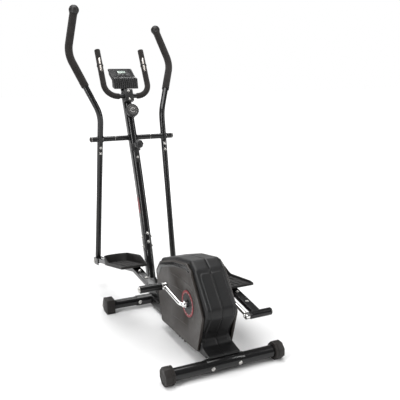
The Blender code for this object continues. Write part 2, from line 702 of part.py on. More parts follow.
def side_panel(side):
    """The trim panel on a housing half, with a hole round the crank hub."""
    start, end = side * (HOUSE_HALF + GAP), side * (HOUSE_HALF + PANEL_THICK)
    outline = fillet_flat(PANEL_OUTLINE, PANEL_ROUND, 2)
    panel = plate(f"side_panel_{sided(side)}", outline, min(start, end), max(start, end), GREY_PANEL)
    return cut(panel, rod("panel_hole", PANEL_HOLE_R, (side * 0.05, CRANK_Y, CRANK_Z),
                          (side * 0.12, CRANK_Y, CRANK_Z), sides=32))


# ---- drive --------------------------------------------------------------------------------------------
def crank_bearing(side, hub):
    """A plain bush pressed into one end of the crank shell."""
    face = SHELL_X[0] if side < 0 else SHELL_X[1]
    ends = (face, 0, 0), (face - side * BEARING_WIDTH, 0, 0)
    bush = rod(f"crank_bearing_{sided(side)}", BEARING_R, *ends, STEEL, hub)
    return cut(bush, rod("bearing_bore", SPINDLE_R + GAP, (face - 0.03, 0, 0), (face + 0.03, 0, 0), None,
                         hub))


def crank(side, hub):
    """A bent chrome bar from the spindle's end out to the eye of the pedal pin."""
    turn = CRANK_ANGLE if side < 0 else CRANK_ANGLE + math.pi
    pin = (math.cos(turn) * CRANK_R, math.sin(turn) * CRANK_R)
    eye = sum(CRANK_EYE_X) / 2
    path = fillet(((side * CRANK_HUB_X, 0, 0), (side * CRANK_BEND_X, 0, 0),
                   (side * eye, pin[0], pin[1])), CRANK_BEND_R, 5)
    arm = tube(f"crank_{sided(side)}", path, CRANK_BAR_R, CHROME, hub)
    boss = rod("crank_eye", CRANK_EYE_R, (side * CRANK_EYE_X[0], *pin), (side * CRANK_EYE_X[1], *pin),
               None, hub)
    collar = rod("crank_collar", COLLAR_R, (side * CRANK_HUB_X, 0, 0),
                 (side * (CRANK_HUB_X + COLLAR_LENGTH), 0, 0), None, hub)
    return join(arm, boss, collar)


def crankset():
    hub = empty("crank_axis", (0.0, CRANK_Y, CRANK_Z))
    reach = CRANK_HUB_X - GAP
    rod("crank_axle", SPINDLE_R, (-reach, 0, 0), (reach, 0, 0), STEEL, hub)
    for side in (-1, 1):
        crank(side, hub)
        crank_bearing(side, hub)
    wheel = rod("drive_pulley", PULLEY_R, (PULLEY_X[0], 0, 0), (PULLEY_X[1], 0, 0), BLACK_PLASTIC, hub, 48)
    cut(wheel, rod("pulley_bore", SPINDLE_R + GAP, (0, 0, 0), (0.05, 0, 0), None, hub))
    for k in range(WINDOWS):
        turn = Matrix.Rotation(2 * math.pi * k / WINDOWS, 3, "X")
        spot = turn @ Vector((0, PULLEY_R * WINDOW_OUT, 0))
        cut(wheel, rod("pulley_window", PULLEY_R * WINDOW_R, spot, spot + Vector((0.05, 0, 0)), None, hub,
                       12))


def flywheel():
    hub = empty("flywheel_axis", (0.0, FLYWHEEL_Y, FLYWHEEL_Z))
    disc = rod("flywheel", FLYWHEEL_R, (FLYWHEEL_X[0], 0, 0), (FLYWHEEL_X[1], 0, 0), IRON, hub, 48)
    join(disc, rod("flywheel_hub", PULLEY_SMALL_R, (FLYWHEEL_X[1] - 0.004, 0, 0), (PULLEY_X[1], 0, 0),
                   None, hub, 24))
    cut(disc, rod("flywheel_bore", FLY_AXLE_R + GAP, (-0.06, 0, 0), (0.06, 0, 0), None, hub))
    rod("flywheel_axle", FLY_AXLE_R, (BRACKET_X[0] - BRACKET_PLATE - FLY_AXLE_END, FLYWHEEL_Y, FLYWHEEL_Z),
        (BRACKET_X[1] + BRACKET_PLATE + FLY_AXLE_END, FLYWHEEL_Y, FLYWHEEL_Z), STEEL)


def belt_loop(grow):
    """The belt's outline round both pulleys, grown outwards from their rims."""
    big, small = PULLEY_R + grow, PULLEY_SMALL_R + grow
    run = Vector((FLYWHEEL_Y - CRANK_Y, FLYWHEEL_Z - CRANK_Z))
    heading = math.atan2(run.y, run.x)
    tangent = math.acos((big - small) / run.length)
    back = ring_points((CRANK_Y, CRANK_Z), big, heading + tangent, heading + 2 * math.pi - tangent, 28)
    front = ring_points((FLYWHEEL_Y, FLYWHEEL_Z), small, heading - tangent, heading + tangent, 10)
    return back + front


def drive_belt():
    low, high = PULLEY_X[0] + BELT_SIDE, PULLEY_X[1] - BELT_SIDE
    belt = plate("drive_belt", belt_loop(BELT_CLEAR + BELT_THICK), low, high, BELT_RUBBER)
    return cut(belt, plate("belt_inside", belt_loop(BELT_CLEAR), low - 0.01, high + 0.01))


def magnet_bracket():
    """An arched brake shoe over the flywheel, on a pivot at its forward end."""
    inner = FLYWHEEL_R + MAGNET_GAP
    start, end = MAGNET_MIDDLE - MAGNET_SPAN / 2, MAGNET_MIDDLE + MAGNET_SPAN / 2
    pivot = Vector((math.cos(start), math.sin(start))) * (inner + MAGNET_THICK / 2)
    spot = (0.0, FLYWHEEL_Y + pivot.x, FLYWHEEL_Z + pivot.y)
    hub = empty("magnet_axis", spot)
    centre = (-pivot.x, -pivot.y)
    outline = ring_points(centre, inner, start, end, 10)
    outline += ring_points(centre, inner + MAGNET_THICK, end, start, 10)
    plate("magnet_bracket", outline, FLYWHEEL_X[0] - MAGNET_SIDE, FLYWHEEL_X[1] + MAGNET_SIDE, STEEL, hub)


# ---- levers -------------------------------------------------------------------------------------------
def lever_path(side):
    """The upper lever's centre line in the lever's frame."""
    points = ((0, 0, -LEVER_SPLIT + GAP), (0, 0, LEVER_STRAIGHT), LEVER_BEND, LEVER_TIP)
    return [(side * x, y, z) for x, y, z in points]


def foam_path(side):
    """The part of that line which the foam covers, down to its lower end."""
    points = [Vector(p) for p in lever_path(side)]
    start = points[1].lerp(points[2], FOAM_START)
    return [start] + points[2:]


def lever(side):
    hub = empty(f"lever_{sided(side)}_axis", (side * LEVER_X, AXLE_Y, AXLE_Z), lever_angle(side))
    upper = tube(f"upper_lever_{sided(side)}", fillet(lever_path(side), LEVER_BEND_R, 6), LEVER_R,
                 BLACK_PAINT, hub)
    inner = side * (CROSS_HALF + RUN - LEVER_X)
    outer = side * (AXLE_HALF - LEVER_X)
    join(upper, rod("lever_sleeve", CROSS_R, (inner, 0, 0), (outer, 0, 0), None, hub))
    cut(upper, rod("sleeve_bore", AXLE_R + GAP, (inner * 2, 0, 0), (outer * 2, 0, 0), None, hub))
    lower = rod(f"lower_lever_{sided(side)}", LEVER_R, (0, 0, -LEVER_SPLIT), (0, 0, -LEVER_LOWER),
                BLACK_PAINT, hub)
    eye_low, eye_high = (-LEVER_EYE_HALF, 0, -LEVER_LOWER), (LEVER_EYE_HALF, 0, -LEVER_LOWER)
    join(lower, rod("lever_eye", LEVER_EYE_R, eye_low, eye_high, None, hub))
    cut(lower, rod("eye_bore", PIN_R + GAP, (-0.05, 0, -LEVER_LOWER), (0.05, 0, -LEVER_LOWER), None, hub))
    line = fillet(foam_path(side), LEVER_BEND_R, 6)
    sleeve(f"lever_foam_{sided(side)}", line, FOAM_R, FOAM_R - around(LEVER_R), FOAM, hub)
    tip, before = Vector(line[-1]), Vector(line[-2])
    heading = (tip - before).normalized()
    base = tip + heading * GAP
    flat = math.asin(FOAM_R / BALL_R)
    turns = [k / 8 * (math.pi - flat) for k in range(9)]
    ball = [(BALL_R * math.sin(a), BALL_R * (math.cos(a) + math.cos(flat))) for a in turns]
    ball.append((0.0, ball[-1][1]))
    turned(f"lever_ball_{sided(side)}", ball, base, base + heading, FOAM, hub)
    return hub


def lever_axle():
    rod("lever_axle", AXLE_R, (-AXLE_HALF, AXLE_Y, AXLE_Z), (AXLE_HALF, AXLE_Y, AXLE_Z), STEEL)
    for side in (-1, 1):
        start = (side * (AXLE_HALF + GAP), AXLE_Y, AXLE_Z)
        profile = ((0.0, 0.0095), (0.008, 0.0085), (0.0125, 0.005), (CROSS_R, 0.0), (0.0, 0.0))
        turned(f"axle_cap_{sided(side)}", profile, start, (start[0] + side, AXLE_Y, AXLE_Z), CAP_PLASTIC)


# ---- pedals -------------------------------------------------------------------------------------------
def arm_section(name, start, end, width, height, hub):
    """A stretch of rectangular tube between two points of the arm's (rearward, up) frame."""
    run = Vector((0, -end[0], end[1])) - Vector((0, -start[0], start[1]))
    tilt = math.atan2(run.z, -run.y)
    frame = Matrix.Translation((0, -start[0], start[1])) @ Matrix.Rotation(-tilt, 4, "X")
    low, high = (-width / 2, -run.length, -height / 2), (width / 2, 0, height / 2)
    return box(name, low, high, BLACK_PAINT, hub, frame)


def pedal(side, lever_hub):
    """Pedal arm, tray and pins, which hang on the lever's lower end."""
    tilt = arm_angle(side) - lever_angle(side)
    hub = empty(f"pedal_{sided(side)}_axis", (0, 0, -LEVER_LOWER), tilt, lever_hub)
    short = (PIN_R + SLEEVE_R) / 2
    rear = (ARM_LENGTH - short, short * ARM_KNEE[1] / (ARM_LENGTH - ARM_KNEE[0]))
    arm = arm_section(f"pedal_arm_{sided(side)}", ARM_FRONT, ARM_KNEE, ARM_WIDTH, ARM_HEIGHT, hub)
    knee_overlap = (ARM_KNEE[0] - 0.012, ARM_KNEE[1])
    slope = arm_section("arm_slope", knee_overlap, rear, SLOPE_WIDTH, SLOPE_HEIGHT, hub)
    low, high = sorted((side * SLEEVE_X[0] - side * LEVER_X, side * SLEEVE_X[1] - side * LEVER_X))
    tube_end = rod("pin_sleeve", SLEEVE_R, (low, -ARM_LENGTH, 0), (high, -ARM_LENGTH, 0), None, hub)
    join(arm, slope, tube_end)
    outer = LEVER_EYE_HALF + RUN
    for x in (-outer - FORK_PLATE, outer):
        rear_y, front_y, low_z, high_z = FORK_SPAN
        join(arm, box("fork_plate", (x, rear_y, low_z), (x + FORK_PLATE, front_y, high_z), None, hub))
    rear_y, front_y, low_z, high_z = FORK_WEB
    web_half = outer + FORK_PLATE / 2
    join(arm, box("fork_web", (-web_half, rear_y, low_z), (web_half, front_y, high_z), None, hub))
    cut(arm, rod("pin_bore", PIN_R + GAP, (low - 0.01, -ARM_LENGTH, 0), (high + 0.01, -ARM_LENGTH, 0),
                 None, hub))
    cut(arm, rod("fork_bore", PIN_R + GAP, (-0.05, 0, 0), (0.05, 0, 0), None, hub))
    pedal_pin(side, hub)
    pivot_bolt(side, hub, outer + FORK_PLATE)
    foot_tray(side, hub)


def pedal_pin(side, hub):
    """The bolt in the pedal sleeve; its inner end faces the crank's eye."""
    start = side * (CRANK_EYE_X[1] + RUN - LEVER_X)
    end = side * (SLEEVE_X[1] + GAP - LEVER_X)
    rear = -ARM_LENGTH
    pin = rod(f"pedal_pin_{sided(side)}", PIN_R, (start, rear, 0), (end + side * HEAD_SINK, rear, 0),
              ZINC, hub)
    return join(pin, rod("pin_head", PIN_HEAD_R, (end, rear, 0), (end + side * HEAD_THICK, rear, 0),
                         None, hub))


def pivot_bolt(side, hub, reach):
    """The bolt through the fork and the lever's eye."""
    start = -side * (reach + 0.006)
    end = side * (reach + GAP)
    bolt = rod(f"lever_pivot_bolt_{sided(side)}", PIN_R, (start, 0, 0), (end + side * HEAD_SINK, 0, 0),
               ZINC, hub)
    return join(bolt, rod("bolt_head", PIN_HEAD_R, (end, 0, 0), (end + side * HEAD_THICK, 0, 0), None, hub))


def foot_tray(side, hub):
    """A tray with a curved front and a rim that falls away towards the heel."""
    rise = math.atan2(ARM_KNEE[1] - ARM_FRONT[1], ARM_KNEE[0] - ARM_FRONT[0])
    seat = ARM_FRONT[1] + (TRAY_REAR - ARM_FRONT[0]) * math.tan(rise) + ARM_HEIGHT / 2 / math.cos(rise)
    frame = Matrix.Translation((side * (TRAY_X - LEVER_X), -TRAY_REAR, seat + GAP)) \
        @ Matrix.Rotation(-rise, 4, "X")
    half, nose = TRAY_WIDTH / 2, TRAY_NOSE
    front = TRAY_LENGTH - nose
    bulge = [(half * math.cos(k * math.pi / 12), front + nose * math.sin(k * math.pi / 12))
             for k in range(13)]
    outline = [(-half, 0.0), (half, 0.0)] + bulge
    rim = TRAY_FLOOR + TRAY_RIM
    tray = flat_solid(f"foot_tray_{sided(side)}", outline, 0.0, rim, TREAD, hub, frame)
    hollow = flat_solid("tray_hollow", inset(outline, TRAY_WALL), TRAY_FLOOR, rim + PAST, None, hub, frame)
    heel = TRAY_FLOOR + TRAY_HEEL
    above = rim + PAST
    wedge = ((-PAST, heel), (0.0, heel), (front * TRAY_HIGH, rim), (front * TRAY_HIGH, above), (-PAST, above))
    slope = plate("tray_slope", wedge, -TRAY_WIDTH, TRAY_WIDTH, None, hub, frame)
    low_rim = TRAY_FLOOR + TRAY_OUTER_RIM
    opening = ((-PAST, low_rim), (front * TRAY_OPEN, low_rim), (front + nose * TRAY_CORNER, rim),
               (front + nose * TRAY_CORNER, above), (-PAST, above))
    ends = sorted((side * (half - TRAY_STEP), side * TRAY_WIDTH))
    outer_slope = plate("tray_outer_slope", opening, *ends, None, hub, frame)
    return cut(tray, hollow, slope, outer_slope)


def flat_solid(name, outline, low, high, surface, parent, frame):
    """A flat outline in (X, Y) with its faces at Z = low and Z = high."""
    settings = {"fill_mode": "BOTH", "extrude": (high - low) / 2}
    mesh = curve_mesh(name, outline, True, True, settings)
    mesh.transform(Matrix.Translation((0, 0, (high + low) / 2)))
    return put(name, mesh, surface, parent, frame)


# ---- U handlebar --------------------------------------------------------------------------------------
def u_line():
    """The U's centre line in the handlebar's frame, whose Y and Z lie square to and in its plane."""
    return ((-UBAR_HALF, 0, UBAR_RISE), (-UBAR_HALF, 0, 0), (UBAR_HALF, 0, 0), (UBAR_HALF, 0, UBAR_RISE))


def handlebar():
    middle = bar_frame().translation
    hub = empty("handlebar_axis", middle, -UBAR_LEAN)
    tube("handlebar", fillet(u_line(), UBAR_BEND_R, 6), UBAR_R, BLACK_PAINT, hub)
    for side in (-1, 1):
        line = fillet(((side * UBAR_FOAM_X, 0, 0), (side * UBAR_HALF, 0, 0),
                       (side * UBAR_HALF, 0, UBAR_RISE)), UBAR_BEND_R, 6)
        sleeve(f"handlebar_foam_{sided(side)}", line, UBAR_FOAM_R, UBAR_FOAM_R - around(UBAR_R), FOAM, hub)
        spots = [(side * UBAR_HALF, 0, up) for up in SENSOR_UP]
        sleeve(f"pulse_sensor_{sided(side)}", spots, around(UBAR_FOAM_R) + SENSOR_THICK, SENSOR_THICK,
               CHROME, hub)


# ---- console ------------------------------------------------------------------------------------------
def face_frame():
    """A frame on the console's sloping face at the chin: Y runs up the face, Z out of it."""
    top, chin = Vector(CONSOLE_TOP), Vector(CONSOLE_CHIN)
    slope = math.atan2(top.y - chin.y, top.x - chin.x)
    return Matrix.Translation((0, chin.x, chin.y)) @ Matrix.Rotation(slope, 4, "X")


def on_face(up, out):
    """(Y, Z) of a point given up the console's face from the chin, and out of it."""
    return tuple((face_frame() @ Vector((0, up, out))).yz)


def face_length():
    return (Vector(CONSOLE_TOP) - Vector(CONSOLE_CHIN)).length


def console():
    frame = face_frame()
    length = face_length()
    front = [CONSOLE_TOP, CONSOLE_CHIN, CONSOLE_LIP, CONSOLE_FOOT, on_face(-0.030, -0.046),
             on_face(0.0, -CONSOLE_DEPTH / 2), on_face(length, -CONSOLE_DEPTH / 2)]
    face = plate("console_face", fillet_flat(front, 0.004, 2), -CONSOLE_HALF, CONSOLE_HALF, BLACK_PLASTIC)
    back = [on_face(length, -CONSOLE_DEPTH / 2 - GAP), on_face(0.006, -CONSOLE_DEPTH / 2 - GAP),
            on_face(0.004, -CONSOLE_DEPTH), on_face(length * 0.8, -CONSOLE_DEPTH * CONSOLE_BACK)]
    plate("console_back", back, -CONSOLE_HALF + 0.004, CONSOLE_HALF - 0.004, BLACK_PLASTIC)
    half_w, half_h = LENS_SIZE[0] / 2, LENS_SIZE[1] / 2
    lens_low, lens_high = (-half_w, LENS_UP - half_h, -LENS_DEEP), (half_w, LENS_UP + half_h, 0.0)
    grow = Vector((GAP, GAP, GAP))
    cut(face, box("lens_well", Vector(lens_low) - grow, Vector(lens_high) + grow, frame=frame))
    box("console_lens", lens_low, lens_high, LCD, frame=frame)
    for number, x in enumerate(BUTTON_X, 1):
        low, high = (x, BUTTON_UP, -BUTTON_DEEP), (x, BUTTON_UP, BUTTON_STAND)
        rod(f"console_button_{number}", BUTTON_R, low, high, BLACK_PLASTIC, sides=16, frame=frame)
        well = (x, BUTTON_UP, -BUTTON_DEEP - 0.002), (x, BUTTON_UP, 0.01)
        cut(face, rod("button_well", BUTTON_R + BUTTON_GAP, *well, sides=16, frame=frame))


def console_bracket():
    """A bent strap from the top of the post to the back of the console."""
    post = post_frame(POST_TOP_Z)
    half = NECK_WIDTH / 2
    foot = box("console_bracket", (-half, -POST_DEPTH / 2 + CONSOLE_SEAT, GAP),
               (half, POST_DEPTH / 2, NECK_THICK), BLACK_PAINT, frame=post)
    back = face_frame() @ Vector((0, face_length() * BRACKET_UP, -CONSOLE_DEPTH * CONSOLE_BACK - NECK_THICK))
    root = post @ Vector((0, NECK_ROOT, NECK_THICK / 2))
    neck = box("bracket_neck", (-half, -NECK_THICK, 0), (half, NECK_THICK, (back - root).length),
               frame=along(root, back))
    return join(foot, neck)


# ---- knobs on the post --------------------------------------------------------------------------------
def saddle(name, z, half_height, block, stand, tail):
    """A plastic base on the post's rear face; block is its half width, tail how far it runs down."""
    frame = post_frame(z)
    back = -POST_DEPTH / 2
    wall = SADDLE_WALL
    base = box(name, (-POST_WIDTH / 2 - wall, back - wall, -half_height), (POST_WIDTH / 2 + wall,
               back + 0.020, half_height), BLACK_PLASTIC, frame=frame)
    neck = rod(f"{name}_neck", block, (0, back - wall / 2, 0), (0, back - stand, 0), frame=frame)
    join(base, neck)
    if tail:
        join(base, box(f"{name}_tail", (-0.011, back - 0.011, -tail), (0.011, back + 0.004, 0), frame=frame))
    core = post_stretch(f"{name}_core", z - 0.22, z + 0.12, 4, grow=GAP)
    return cut(base, core)


def knob(name, z, radius, stand, thick, dome):
    """A round knob whose face stands clear of the post's rear face."""
    frame = post_frame(z)
    back = -POST_DEPTH / 2
    hub = empty(f"{name}_axis", (0, 0, 0))
    hub.matrix_basis = frame @ along((0, back - stand + thick, 0), (0, back - stand, 0))
    profile = ((0.0, thick), (radius * 0.55, thick - dome * 0.15), (radius * 0.85, thick - dome * 0.5),
               (radius, thick - dome), (radius, 0.003), (radius * 0.94, 0.0), (0.0, 0.0))
    return turned(name, profile, (0, 0, 0), (0, 0, 1), BLACK_PLASTIC, hub)


# ---- assembly -----------------------------------------------------------------------------------------
def centre_on_floor():
    """Moves everything so that the box of the parts is centred over the origin and stands on Z = 0."""
    graph = bpy.context.evaluated_depsgraph_get()
    low, high = Vector((9, 9, 9)), Vector((-9, -9, -9))
    for item in PARTS.objects:
        if item.type != "MESH":
            continue
        mesh = item.evaluated_get(graph).to_mesh()
        for vert in mesh.vertices:
            spot = item.matrix_world @ vert.co
            low = Vector(map(min, low, spot))
            high = Vector(map(max, high, spot))
    shift = Matrix.Translation((-(low.x + high.x) / 2, -(low.y + high.y) / 2, -low.z))
    for item in list(PARTS.objects) + list(TOOLS.objects):
        if item.parent is None:
            item.matrix_basis = shift @ item.matrix_basis


def build():
    stabiliser("rear_stabilizer", 0.0, REAR_TUBE_R, REAR_HALF)
    stabiliser("front_stabilizer", FRONT_Y, FRONT_TUBE_R, FRONT_HALF)
    base_frame()
    front_post()
    lever_axle()
    crankset()
    flywheel()
    drive_belt()
    magnet_bracket()
    handlebar()
    clamp_cover()
    console()
    console_bracket()
    saddle("tension_base", DIAL_Z, *DIAL_BASE, DIAL_STAND - DIAL_THICK - RUN, 0.0)
    knob("tension_knob", DIAL_Z, DIAL_R, DIAL_STAND, DIAL_THICK, DIAL_DOME)
    saddle("lock_knob_base", LOCK_Z, *LOCK_BASE, LOCK_STAND - LOCK_THICK - RUN, LOCK_TAIL)
    knob("lock_knob", LOCK_Z, LOCK_R, LOCK_STAND, LOCK_THICK, LOCK_DOME)
    for side in (-1, 1):
        rear_cap(side)
        front_cap(side)
        transport_wheel(side)
        housing(side)
        side_panel(side)
        pedal(side, lever(side))


def smooth_round_pieces():
    for item in PARTS.objects:
        if item.type == "MESH":
            item.data.shade_smooth()
            item.data.set_sharp_from_angle(angle=math.radians(35))


build()
bpy.context.view_layer.update()
smooth_round_pieces()
centre_on_floor()
bpy.context.view_layer.update()
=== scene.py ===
"""Looks of a rear-drive elliptical trainer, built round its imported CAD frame.

Metres, +Z up. +Y is the way the user faces and +X their right. The frame's joints and boxes give the places;
the sizes below repeat those of its tubes, covers and grips, and add the detail that the frame leaves out.
"""

import json
import math

import bmesh
import bpy
from mathutils import Matrix, Vector

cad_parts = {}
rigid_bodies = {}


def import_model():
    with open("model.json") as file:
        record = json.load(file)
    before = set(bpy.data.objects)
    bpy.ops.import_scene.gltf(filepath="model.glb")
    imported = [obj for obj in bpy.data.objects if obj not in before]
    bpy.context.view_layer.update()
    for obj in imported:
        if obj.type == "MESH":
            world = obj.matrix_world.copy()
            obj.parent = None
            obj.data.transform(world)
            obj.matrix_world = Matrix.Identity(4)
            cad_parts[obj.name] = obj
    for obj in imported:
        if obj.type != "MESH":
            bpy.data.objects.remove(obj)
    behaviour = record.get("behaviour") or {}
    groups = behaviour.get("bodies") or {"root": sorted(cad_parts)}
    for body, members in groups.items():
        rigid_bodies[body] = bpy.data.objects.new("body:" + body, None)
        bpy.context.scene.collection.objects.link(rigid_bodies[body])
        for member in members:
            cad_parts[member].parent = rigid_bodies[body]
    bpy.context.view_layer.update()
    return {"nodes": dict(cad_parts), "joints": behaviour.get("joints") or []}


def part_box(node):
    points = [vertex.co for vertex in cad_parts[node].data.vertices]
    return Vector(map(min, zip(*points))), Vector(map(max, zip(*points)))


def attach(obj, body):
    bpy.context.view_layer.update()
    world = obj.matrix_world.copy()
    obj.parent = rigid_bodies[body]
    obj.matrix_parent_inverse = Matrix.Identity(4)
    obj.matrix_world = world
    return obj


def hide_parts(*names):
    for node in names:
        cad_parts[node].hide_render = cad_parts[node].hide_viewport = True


for leftover in list(bpy.data.objects):
    bpy.data.objects.remove(leftover, do_unlink=True)
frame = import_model()
JOINTS = {joint["name"]: joint for joint in frame["joints"]}
SIDES = (("left", -1), ("right", 1))


# ---- materials: colour drift, roughness drift and a fine grain, all procedural
def socket(node, name, value):
    node.inputs[name].default_value = value


def texture(tree, kind, scale):
    """A texture node on object coordinates."""
    place = tree.nodes.new("ShaderNodeTexCoord")
    made = tree.nodes.new(kind)
    socket(made, "Scale", scale)
    tree.links.new(place.outputs["Object"], made.inputs["Vector"])
    return made


def noise(tree, scale, detail=3.0):
    made = texture(tree, "ShaderNodeTexNoise", scale)
    socket(made, "Detail", detail)
    return made.outputs["Fac"]


def cells(tree, scale):
    """Rounded cells, for moulded grain and foam."""
    return texture(tree, "ShaderNodeTexVoronoi", scale).outputs["Distance"]


def spread(tree, value, low, high, start=0.3, end=0.7):
    """Maps a texture's middle values onto low to high."""
    span = tree.nodes.new("ShaderNodeMapRange")
    socket(span, "From Min", start)
    socket(span, "From Max", end)
    socket(span, "To Min", low)
    socket(span, "To Max", high)
    tree.links.new(value, span.inputs["Value"])
    return span.outputs["Result"]


WORN_EDGE = (0.53, 0.62)        # pointiness from which an edge pales, and at which it is palest


def drift_colour(tree, colour, drift, scale, worn):
    """The base colour with a slow drift, and paler where edges are worn."""
    ramp = tree.nodes.new("ShaderNodeValToRGB")
    for stop, position, share in zip(ramp.color_ramp.elements, (0.3, 0.7), (1 - drift, 1 + drift)):
        stop.position = position
        stop.color = (*[c * share for c in colour], 1)
    tree.links.new(noise(tree, scale, 5.0), ramp.inputs["Fac"])
    if not worn:
        return ramp.outputs["Color"]
    surface = tree.nodes.new("ShaderNodeNewGeometry")
    edge = spread(tree, surface.outputs["Pointiness"], 0.0, worn, *WORN_EDGE)
    mix = tree.nodes.new("ShaderNodeMix")
    mix.data_type = "RGBA"
    mix.inputs["B"].default_value = (*[min(1.0, c * 2.2 + 0.05) for c in colour], 1)
    tree.links.new(edge, mix.inputs["Factor"])
    tree.links.new(ramp.outputs["Color"], mix.inputs["A"])
    return mix.outputs["Result"]


def finish(name, colour, rough, metallic=0.0, grain=None, drift=0.15, scale=9.0, specular=0.35, sheen=0.0,
           coat=0.0, worn=0.0, shake=0.12, cellular=False):
    """One material. grain is (scale, strength, height) of its fine bump."""
    made = bpy.data.materials.new(name)
    made.use_nodes = True
    tree = made.node_tree
    shader = tree.nodes["Principled BSDF"]
    socket(shader, "Metallic", metallic)
    socket(shader, "Specular IOR Level", specular)
    socket(shader, "Sheen Weight", sheen)
    socket(shader, "Coat Weight", coat)
    tree.links.new(drift_colour(tree, colour, drift, scale, worn), shader.inputs["Base Color"])
    rough_map = spread(tree, noise(tree, scale * 4, 6.0), rough * (1 - shake), rough * (1 + shake))
    tree.links.new(rough_map, shader.inputs["Roughness"])
    if grain:
        bump = tree.nodes.new("ShaderNodeBump")
        socket(bump, "Strength", grain[1])
        socket(bump, "Distance", grain[2])
        height = cells(tree, grain[0]) if cellular else noise(tree, grain[0])
        tree.links.new(height, bump.inputs["Height"])
        tree.links.new(bump.outputs["Normal"], shader.inputs["Normal"])
    return made


PAINT = finish("gloss_black_paint", (0.0045, 0.0045, 0.0048), 0.21, grain=(520, 0.1, 0.0004), specular=0.42,
               worn=0.1)
PLASTIC = finish("satin_black_plastic", (0.0085, 0.0085, 0.0088), 0.42, grain=(1500, 0.25, 0.0003),
                 specular=0.32, worn=0.12, cellular=True)
PANEL = finish("warm_grey_plastic", (0.031, 0.0262, 0.0232), 0.38, grain=(1700, 0.22, 0.0003), specular=0.38,
               worn=0.08, cellular=True)
CAP = finish("brown_black_plastic", (0.013, 0.0108, 0.0096), 0.5, grain=(1200, 0.3, 0.0004), specular=0.3,
             worn=0.18, cellular=True)
FOAM = finish("charcoal_foam", (0.015, 0.0132, 0.0125), 0.92, grain=(1300, 0.55, 0.0006), specular=0.15,
              sheen=0.12, drift=0.22, scale=26, cellular=True)
RUBBER = finish("ball_rubber", (0.01, 0.0092, 0.0088), 0.46, grain=(900, 0.2, 0.0003), specular=0.3,
                worn=0.2)
CHROME = finish("chrome_plate", (0.78, 0.78, 0.77), 0.09, 1.0, grain=(160, 0.03, 0.0004), drift=0.06,
                shake=0.45)
PLATE = finish("sensor_plate", (0.33, 0.31, 0.29), 0.24, 1.0, grain=(160, 0.03, 0.0004), drift=0.06)
ZINC = finish("zinc_plate", (0.55, 0.54, 0.52), 0.28, 1.0, grain=(700, 0.12, 0.0003), drift=0.1)
STEEL = finish("bare_steel", (0.45, 0.45, 0.46), 0.34, 1.0, grain=(400, 0.12, 0.0003))
IRON = finish("cast_iron", (0.07, 0.07, 0.075), 0.55, 0.7, grain=(600, 0.4, 0.0006))
TREAD = finish("tread_plastic", (0.0135, 0.0125, 0.012), 0.58, grain=(1400, 0.45, 0.0005), specular=0.3,
               worn=0.3, cellular=True)
BELT = finish("belt_rubber", (0.014, 0.014, 0.014), 0.8, grain=(900, 0.3, 0.0004))
LCD = finish("display_window", (0.4, 0.46, 0.42), 0.14, grain=(900, 0.02, 0.0002), drift=0.05, coat=0.5)
INK = finish("display_digits", (0.03, 0.035, 0.03), 0.3, grain=(900, 0.05, 0.0001))
RED = finish("red_print", (0.19, 0.005, 0.01), 0.38, grain=(1500, 0.1, 0.0002), drift=0.18, scale=30)
# the pale material is print on the crank ring and the dial's ticks, and also a painted highlight: the ring on
# the tension dial's face
PALE = finish("pale_print_and_painted_highlight", (0.42, 0.41, 0.4), 0.45, grain=(1500, 0.1, 0.0002))
BUTTON = finish("button_rubber", (0.1, 0.1, 0.1), 0.6, grain=(1500, 0.2, 0.0002))
KNOB = finish("knob_plastic", (0.012, 0.012, 0.0125), 0.38, grain=(1300, 0.25, 0.0003), worn=0.3,
              cellular=True)
# dial_face is painted light: a grey lighter than the knob plastic, standing in for the light that falls on
# the dial's face
DISC = finish("dial_face", (0.045, 0.044, 0.043), 0.42, grain=(1300, 0.2, 0.0002))


# ---- flat geometry
def smooth(value):
    """A step from 0 to 1 with level ends."""
    value = max(0.0, min(1.0, value))
    return value * value * (3 - 2 * value)


SHARED_SIDE = 0.49      # the part of a side that an arc may take where both ends have one
WHOLE_SIDE = 0.98


def fillet(points, radius, steps=6, closed=False):
    """The points with each corner replaced by an arc that two corners on one side can share."""
    points = [Vector(p) for p in points]
    count = len(points)
    out = []
    for i, here in enumerate(points):
        if not closed and i in (0, count - 1):
            out.append(here)
            continue
        before = points[i - 1] - here
        after = points[(i + 1) % count] - here
        half = before.angle(after) / 2
        first_share = SHARED_SIDE if closed or i > 1 else WHOLE_SIDE
        last_share = SHARED_SIDE if closed or i < count - 2 else WHOLE_SIDE
        back = min(radius / math.tan(half), first_share * before.length, last_share * after.length)
        arc_r = back * math.tan(half)
        middle = (before.normalized() + after.normalized()).normalized()
        centre = here + middle * (arc_r / math.sin(half))
        first = (here + before.normalized() * back - centre).normalized()
        last = (here + after.normalized() * back - centre).normalized()
        out += [centre + first.slerp(last, k / steps) * arc_r for k in range(steps + 1)]
    return out


def fillet_flat(points, radius, steps=6):
    """A closed outline of (a, b) points with its corners rounded."""
    return [Vector((p.x, p.y)) for p in fillet([(*q, 0.0) for q in points], radius, steps, True)]


def normals(points):
    """Inward unit normals of a closed outline, whichever way it runs."""
    count = len(points)
    area = sum(points[i - 1][0] * points[i][1] - points[i][0] * points[i - 1][1] for i in range(count))
    side = 1.0 if area > 0 else -1.0
    out = []
    for i in range(count):
        one = (points[i] - points[i - 1]).normalized()
        two = (points[(i + 1) % count] - points[i]).normalized()
        middle = Vector((-(one + two).y, (one + two).x)).normalized() * side
        out.append(middle / max(middle.dot(Vector((-one.y, one.x)) * side), 0.4))
    return out


def offset(points, depth):
    """The outline moved inwards by depth, point for point."""
    return [p + n * depth for p, n in zip(points, normals(points))]


def resampled(points, count):
    """A closed outline with evenly spaced points."""
    loop = points + [points[0]]
    lengths = [(b - a).length for a, b in zip(loop, loop[1:])]
    step = sum(lengths) / count
    out, i, gone = [], 0, 0.0
    for k in range(count):
        want = k * step
        while gone + lengths[i] < want:
            gone += lengths[i]
            i += 1
        out.append(loop[i].lerp(loop[i + 1], (want - gone) / lengths[i]))
    return out


